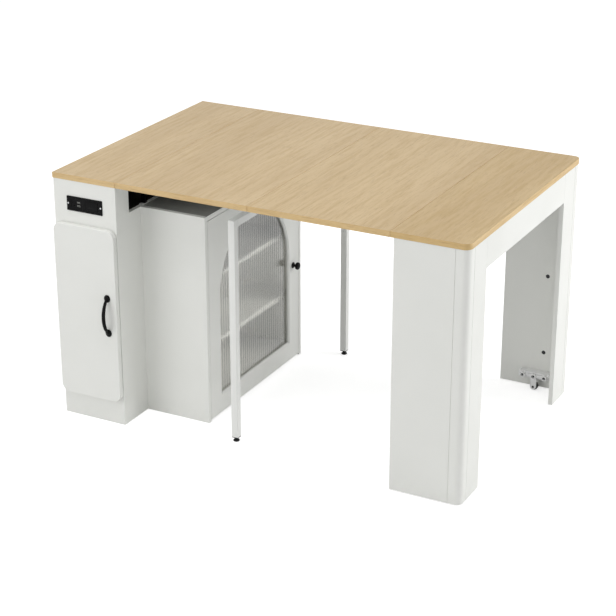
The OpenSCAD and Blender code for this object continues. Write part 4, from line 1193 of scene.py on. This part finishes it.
@dataclass
class RollingEnd:
    """The leg frame's hardware: caster brackets, wheels, screws and cam locks."""

    shop: Workshop
    wheel_r: float = 15 * MM
    wheel_w: float = 16 * MM
    axle_r: float = 3 * MM
    tongue_half: float = 11 * MM
    tongue_foot: float = 4 * MM
    cheeks: tuple[tuple[float, float], ...] = ((31 * MM, 37 * MM), (8 * MM, 14 * MM))
    gap_half: float = 16.5 * MM
    gap_top: float = 31.5 * MM
    boss_r: float = 10.4 * MM
    boss_from: float = 20 * MM
    hole_r: float = 6.2 * MM
    hole_from: float = 12 * MM
    hole_deep: float = 40 * MM
    hole_pitch: float = 42 * MM
    hole_z: float = 58 * MM
    seat_d: float = 31 * MM
    block_z: float = 46 * MM
    block_h: float = 24 * MM
    plate_d: float = 30 * MM
    plate_corner: float = 5 * MM
    plate_arris: float = 1.2 * MM
    web_arris: float = 2 * MM
    fork_arris: float = 0.8 * MM
    arris: float = 0.4 * MM
    web_d: tuple[float, float] = (24 * MM, 36 * MM)
    web_half: float = 6 * MM
    depth: float = 44 * MM
    cam_r: float = 7.5 * MM
    cam_in: float = 44 * MM
    cam_heights: tuple[float, ...] = (143 * MM, 442 * MM)

    def build(self) -> None:
        """Makes the brackets, wheels and locks of both legs."""
        low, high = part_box("caster_brackets")
        walls = ((low.y, End.NEAR), (high.y, End.FAR))
        middle_x, half_l = (low.x + high.x) / 2, (high.x - low.x) / 2
        brackets = [self.bracket(middle_x, wall_y, end, half_l) for wall_y, end in walls]
        self.shop.install(Bench.together("caster_housings", *brackets), "caster_brackets")
        for node in ("caster_wheel_near", "caster_wheel_far"):
            self.shop.install(self.wheel(node, middle_of(node)), node)
        parts = [part for wall_y, end in walls for part in self.fittings(middle_x, wall_y, end)]
        self.shop.install(Bench.smooth(Bench.together("cam_locks_and_screws", *parts), 35), "leg_fittings")

    def bracket(self, x: float, wall_y: float, end: End, half_l: float) -> Piece:
        """One moulded housing: a base plate, three bosses and a fork for the wheel.

        Args:
            x: its middle.
            wall_y: the face of the leg board that it is screwed to.
            end: which leg it sits on.
            half_l: half its length.

        Returns:
            The housing.
        """
        out = Vector((0, end.value, 0))
        centres = [Vector((x + place * self.hole_pitch, wall_y, self.hole_z)) for place in (-1, 0, 1)]

        def slab(name: str, half_x: float, near: float, far: float, bottom: float, top: float) -> Piece:
            """A block given by its distances from the board."""
            y0, y1 = sorted(wall_y + end.value * depth for depth in (near, far))
            return Bench.block(name, (x - half_x, y0, bottom), (x + half_x, y1, top))

        housing = slab("plate", half_l, 0, self.plate_d, self.block_z, self.block_z + self.block_h)
        Bench.round_edges(housing, self.plate_corner, 5, along("y", self.plate_d / 3))
        Bench.soften(housing, self.plate_arris, 3, 60)
        reach = self.depth - 0.4 * MM
        boss = ((self.boss_r, self.boss_from), (self.boss_r, reach - 1.4 * MM),
                (self.boss_r - 0.5 * MM, reach - 0.4 * MM), (self.boss_r - 1.4 * MM, reach))
        parts = [Bench.turned("boss", boss, centre, out) for centre in centres]
        web = slab("web", half_l - self.web_half, *self.web_d,
                   self.hole_z - self.web_half, self.hole_z + self.web_half)
        parts.append(Bench.soften(web, self.web_arris, 3, 60))
        for near, far in self.cheeks:
            lobe = slab("lobe", self.tongue_half, near, far, self.tongue_foot, self.hole_z)
            Bench.round_edges(lobe, self.tongue_half - 0.2 * MM, 12, lambda a, b: (
                along("y", 1 * MM)(a, b) and max(a.z, b.z) < self.tongue_foot + 2 * MM))
            parts.append(Bench.soften(lobe, self.fork_arris, 3, 60))
        (_, outer), (inner, fork) = self.cheeks
        neck = slab("neck", self.tongue_half, inner, outer, self.gap_top, self.block_z + 2 * MM)
        parts.append(Bench.soften(neck, self.fork_arris, 3, 60))
        Bench.combine(housing, "UNION", *parts)
        tools = [slab("gap", self.gap_half, fork, self.seat_d, 0, self.gap_top)]
        for centre in reversed(centres):
            start = Vector((centre.x, wall_y + end.value * self.hole_from, self.hole_z))
            tools.insert(0, Bench.rod("hole", self.hole_r, start, start + self.hole_deep * out))
        Bench.combine(housing, "DIFFERENCE", *tools)
        return Bench.soften(housing, self.arris, 2, 50)

    def wheel(self, node: str, middle: Vector) -> Piece:
        """A wheel with a crowned tyre, a dished side and a hub, the same on both sides."""
        half = Vector((0, self.wheel_w / 2, 0))
        side = [(self.axle_r + 0.2 * MM, 0), (7 * MM, 0), (8 * MM, 1.2 * MM), (11.5 * MM, 1.2 * MM),
                (12.5 * MM, 0.2 * MM), (13.6 * MM, 0.4 * MM), (self.wheel_r - 0.4 * MM, 1.6 * MM),
                (self.wheel_r, 3.4 * MM)]
        profile = side + [(radius, self.wheel_w - height) for radius, height in reversed(side)]
        tyre = Bench.turned(f"{node}_tyre", profile, middle - half, (0, 1, 0), 64)
        bore = Bench.rod("bore", self.axle_r + 0.1 * MM, middle - 2 * half, middle + 2 * half)
        return Bench.smooth(Bench.combine(tyre, "DIFFERENCE", bore), 30)

    def fittings(self, bracket_x: float, wall_y: float, end: End) -> list[Piece]:
        """The cam locks of one leg and the screws in its bracket's holes."""
        out = Vector((0, end.value, 0))
        cam_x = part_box("leg_corner_near")[0].x - self.cam_in
        parts = [self.cam(Vector((cam_x, wall_y, height)), out, 30 + 25 * index)
                 for index, height in enumerate(self.cam_heights)]
        screw = ((1.9 * MM, -self.seat_d - 8 * MM), (1.9 * MM, 0), (5.6 * MM, 0.1 * MM), (5.6 * MM, 1.0 * MM),
                 (3.8 * MM, 1.2 * MM), (3.8 * MM, 2.4 * MM), (2.8 * MM, 3.2 * MM), (0.4 * MM, 3.5 * MM))
        for place in (-1, 0, 1):
            seat = Vector((bracket_x + place * self.hole_pitch, wall_y, self.hole_z)) + self.seat_d * out
            parts.append(Bench.turned("bracket_screw", screw, seat, out, 24))
        return parts

    def cam(self, at: Vector, out: Vector, turn: float) -> Piece:
        """One cam lock: a dished disc with a raised ring and a cross."""
        r = self.cam_r
        profile = ((r, -11.5 * MM), (r, -0.2 * MM), (r - 0.3 * MM, 0), (r - 1.0 * MM, 0),
                   (r - 1.4 * MM, -0.7 * MM), (0.8 * MM, -0.7 * MM))
        return Bench.cut_cross(Bench.turned("cam_lock", profile, at, out), at, turn, 5 * MM, 3 * MM, 1 * MM)


@dataclass
class Hardware:
    """Small fittings whose shapes come from the frame, with their edges softened."""

    shop: Workshop
    softened: tuple[tuple[str, float], ...] = (
        ("fixed_rails", 0.5 * MM), ("first_rails", 0.5 * MM), ("second_rails", 0.5 * MM),
        ("leg_rails", 0.5 * MM), ("glazing_clips", 0.25 * MM), ("shelf_pins", 0.3 * MM),
        ("hinge_arms", 0.25 * MM), ("end_hinge_cups", 0.3 * MM), ("glass_hinge_cups", 0.3 * MM),
        ("outlet_housing", 0.6 * MM), ("caster_axles", 0.3 * MM), ("handle_screws", 0.2 * MM),
        ("knob_screw", 0.2 * MM))
    dark: tuple[str, ...] = ("caster_axles",)
    foot_w: float = 40 * MM
    foot_t: float = 3 * MM
    post_t: float = 14 * MM
    bracket_arris: float = 0.4 * MM

    def brackets(self) -> None:
        """Makes the rail brackets: a white foot on the side board's rim and a black post on it."""
        low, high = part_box("rail_brackets")
        joint_z = low.z + self.foot_t
        for name, thick, bottom, top, slot in (
                ("bracket_feet", self.foot_w, low.z, joint_z, Slot.WHITE_STEEL),
                ("bracket_posts", self.post_t, joint_z, high.z, None)):
            parts = [Bench.soften(Bench.block("bracket_part", (low.x, y - thick / 2, bottom),
                                              (high.x, y + thick / 2, top)), self.bracket_arris)
                     for y in (low.y + self.foot_w / 2, high.y - self.foot_w / 2)]
            self.shop.install(Bench.together(name, *parts), "rail_brackets", slot)

    def build(self) -> None:
        """Makes the brackets and softens the edges of each other fitting."""
        self.brackets()
        for node, width in self.softened:
            piece = Bench.soften(Bench.from_frame(node, f"{node}_finished"), width, 2, 50)
            self.shop.install(piece, node, Slot.DARK_FITTING if node in self.dark else None)


@dataclass
class Studio:
    """Camera, lamps, floor and background."""

    place: Point = (2.62022, -5.05556, 2.73602)
    aim: Point = (-0.08716, 0.10397, 0.31966)
    lens: float = 101.78
    sky: float = 0.48
    floor_size: float = 24.0
    floor_grey: float = 0.82
    floor_glow: float = 0.60
    lamp_aim: Point = (0.0, 0.0, 0.45)
    lamps: tuple[tuple[str, Point, float, float], ...] = (
        ("leg_end_lamp", (4.4, 2.2, 2.3), 2.8, 102.0),
        ("overhead_lamp", (0.0, -1.2, 4.6), 3.6, 69.0),
        ("front_lamp", (-3.0, -4.6, 2.6), 3.0, 68.0))

    @staticmethod
    def stand(name: str, data: bpy.types.ID, place: Point, aim: Point) -> Piece:
        """Puts a camera or lamp in its place and turns it to what it is aimed at."""
        stood = bpy.data.objects.new(name, data)
        stood.location = place
        stood.rotation_euler = (Vector(aim) - Vector(place)).to_track_quat("-Z", "Y").to_euler()
        bpy.context.scene.collection.objects.link(stood)
        return stood

    def camera(self) -> None:
        """Makes the camera at the photograph's angle."""
        data = bpy.data.cameras.new("photo_camera")
        data.lens = self.lens
        data.sensor_width = 36.0
        bpy.context.scene.camera = self.stand("photo_camera", data, self.place, self.aim)

    @staticmethod
    def plainly_seen(sheet: Sheet) -> Socket:
        """One for rays that look at a thing straight, in a mirror or through glass."""
        rays = sheet.add("LightPath").outputs
        seen = sheet.math("MAXIMUM", rays["Is Camera Ray"], rays["Is Glossy Ray"])
        return sheet.math("MAXIMUM", seen, rays["Is Transmission Ray"])

    def background(self) -> None:
        """Makes the world white to the eye and milder as a light."""
        world = bpy.data.worlds.new("white_room")
        world.use_nodes = True
        sheet = Sheet(world.node_tree)
        strength = sheet.span(self.plainly_seen(sheet), 0.0, 1.0, self.sky, 1.0)
        sheet.give(world.node_tree.nodes["Background"], Color=(1.0, 1.0, 1.0, 1.0), Strength=strength)
        bpy.context.scene.world = world

    def floor(self) -> None:
        """Lays the pale floor, white to the eye but for the object's shadow, and clear from below."""
        Bench.pick()
        bpy.ops.mesh.primitive_plane_add(size=self.floor_size, location=(0, 0, 0))
        floor = Bench.settle(bpy.context.object, "studio_floor")
        pale = bpy.data.materials.new("pale_floor")
        pale.use_nodes = True
        sheet, shader = Sheet(pale.node_tree), pale.node_tree.nodes["Principled BSDF"]
        grey = (self.floor_grey, self.floor_grey, self.floor_grey, 1.0)
        sheet.give(shader, Base_Color=grey, Roughness=0.9, Specular_IOR_Level=0.1)
        strength = sheet.times(self.plainly_seen(sheet), self.floor_glow)
        glow = sheet.give(sheet.add("Emission"), Strength=strength)
        both = sheet.add("AddShader")
        sheet.feed(both.inputs[0], shader.outputs[0])
        sheet.feed(both.inputs[1], glow.outputs[0])
        mix_shaders(sheet, sheet.add("NewGeometry").outputs["Backfacing"], both, sheet.add("BsdfTransparent"))
        floor.data.materials.append(pale)

    def build(self) -> None:
        """Sets up the background, the floor and the soft lamps: leg end, overhead and low in front."""
        self.background()
        self.floor()
        for name, place, size, power in self.lamps:
            data = bpy.data.lights.new(name, "AREA")
            data.shape = "SQUARE"
            data.size = size
            data.energy = power
            self.stand(name, data, place, self.lamp_aim)
        bpy.context.scene.view_settings.view_transform = "Standard"


def main() -> None:
    """Builds the scene piece by piece."""
    logging.basicConfig(level=logging.INFO, format="%(name)s: %(message)s")
    studio = Studio()
    studio.camera()
    shop = Workshop()
    for assembly in (Carcass, TableTop, OutletPanel, EndDoor, GlassDoor, MiddleFrame, RollingEnd, Hardware):
        assembly(shop).build()
    studio.build()


if __name__ == "__main__":
    main()
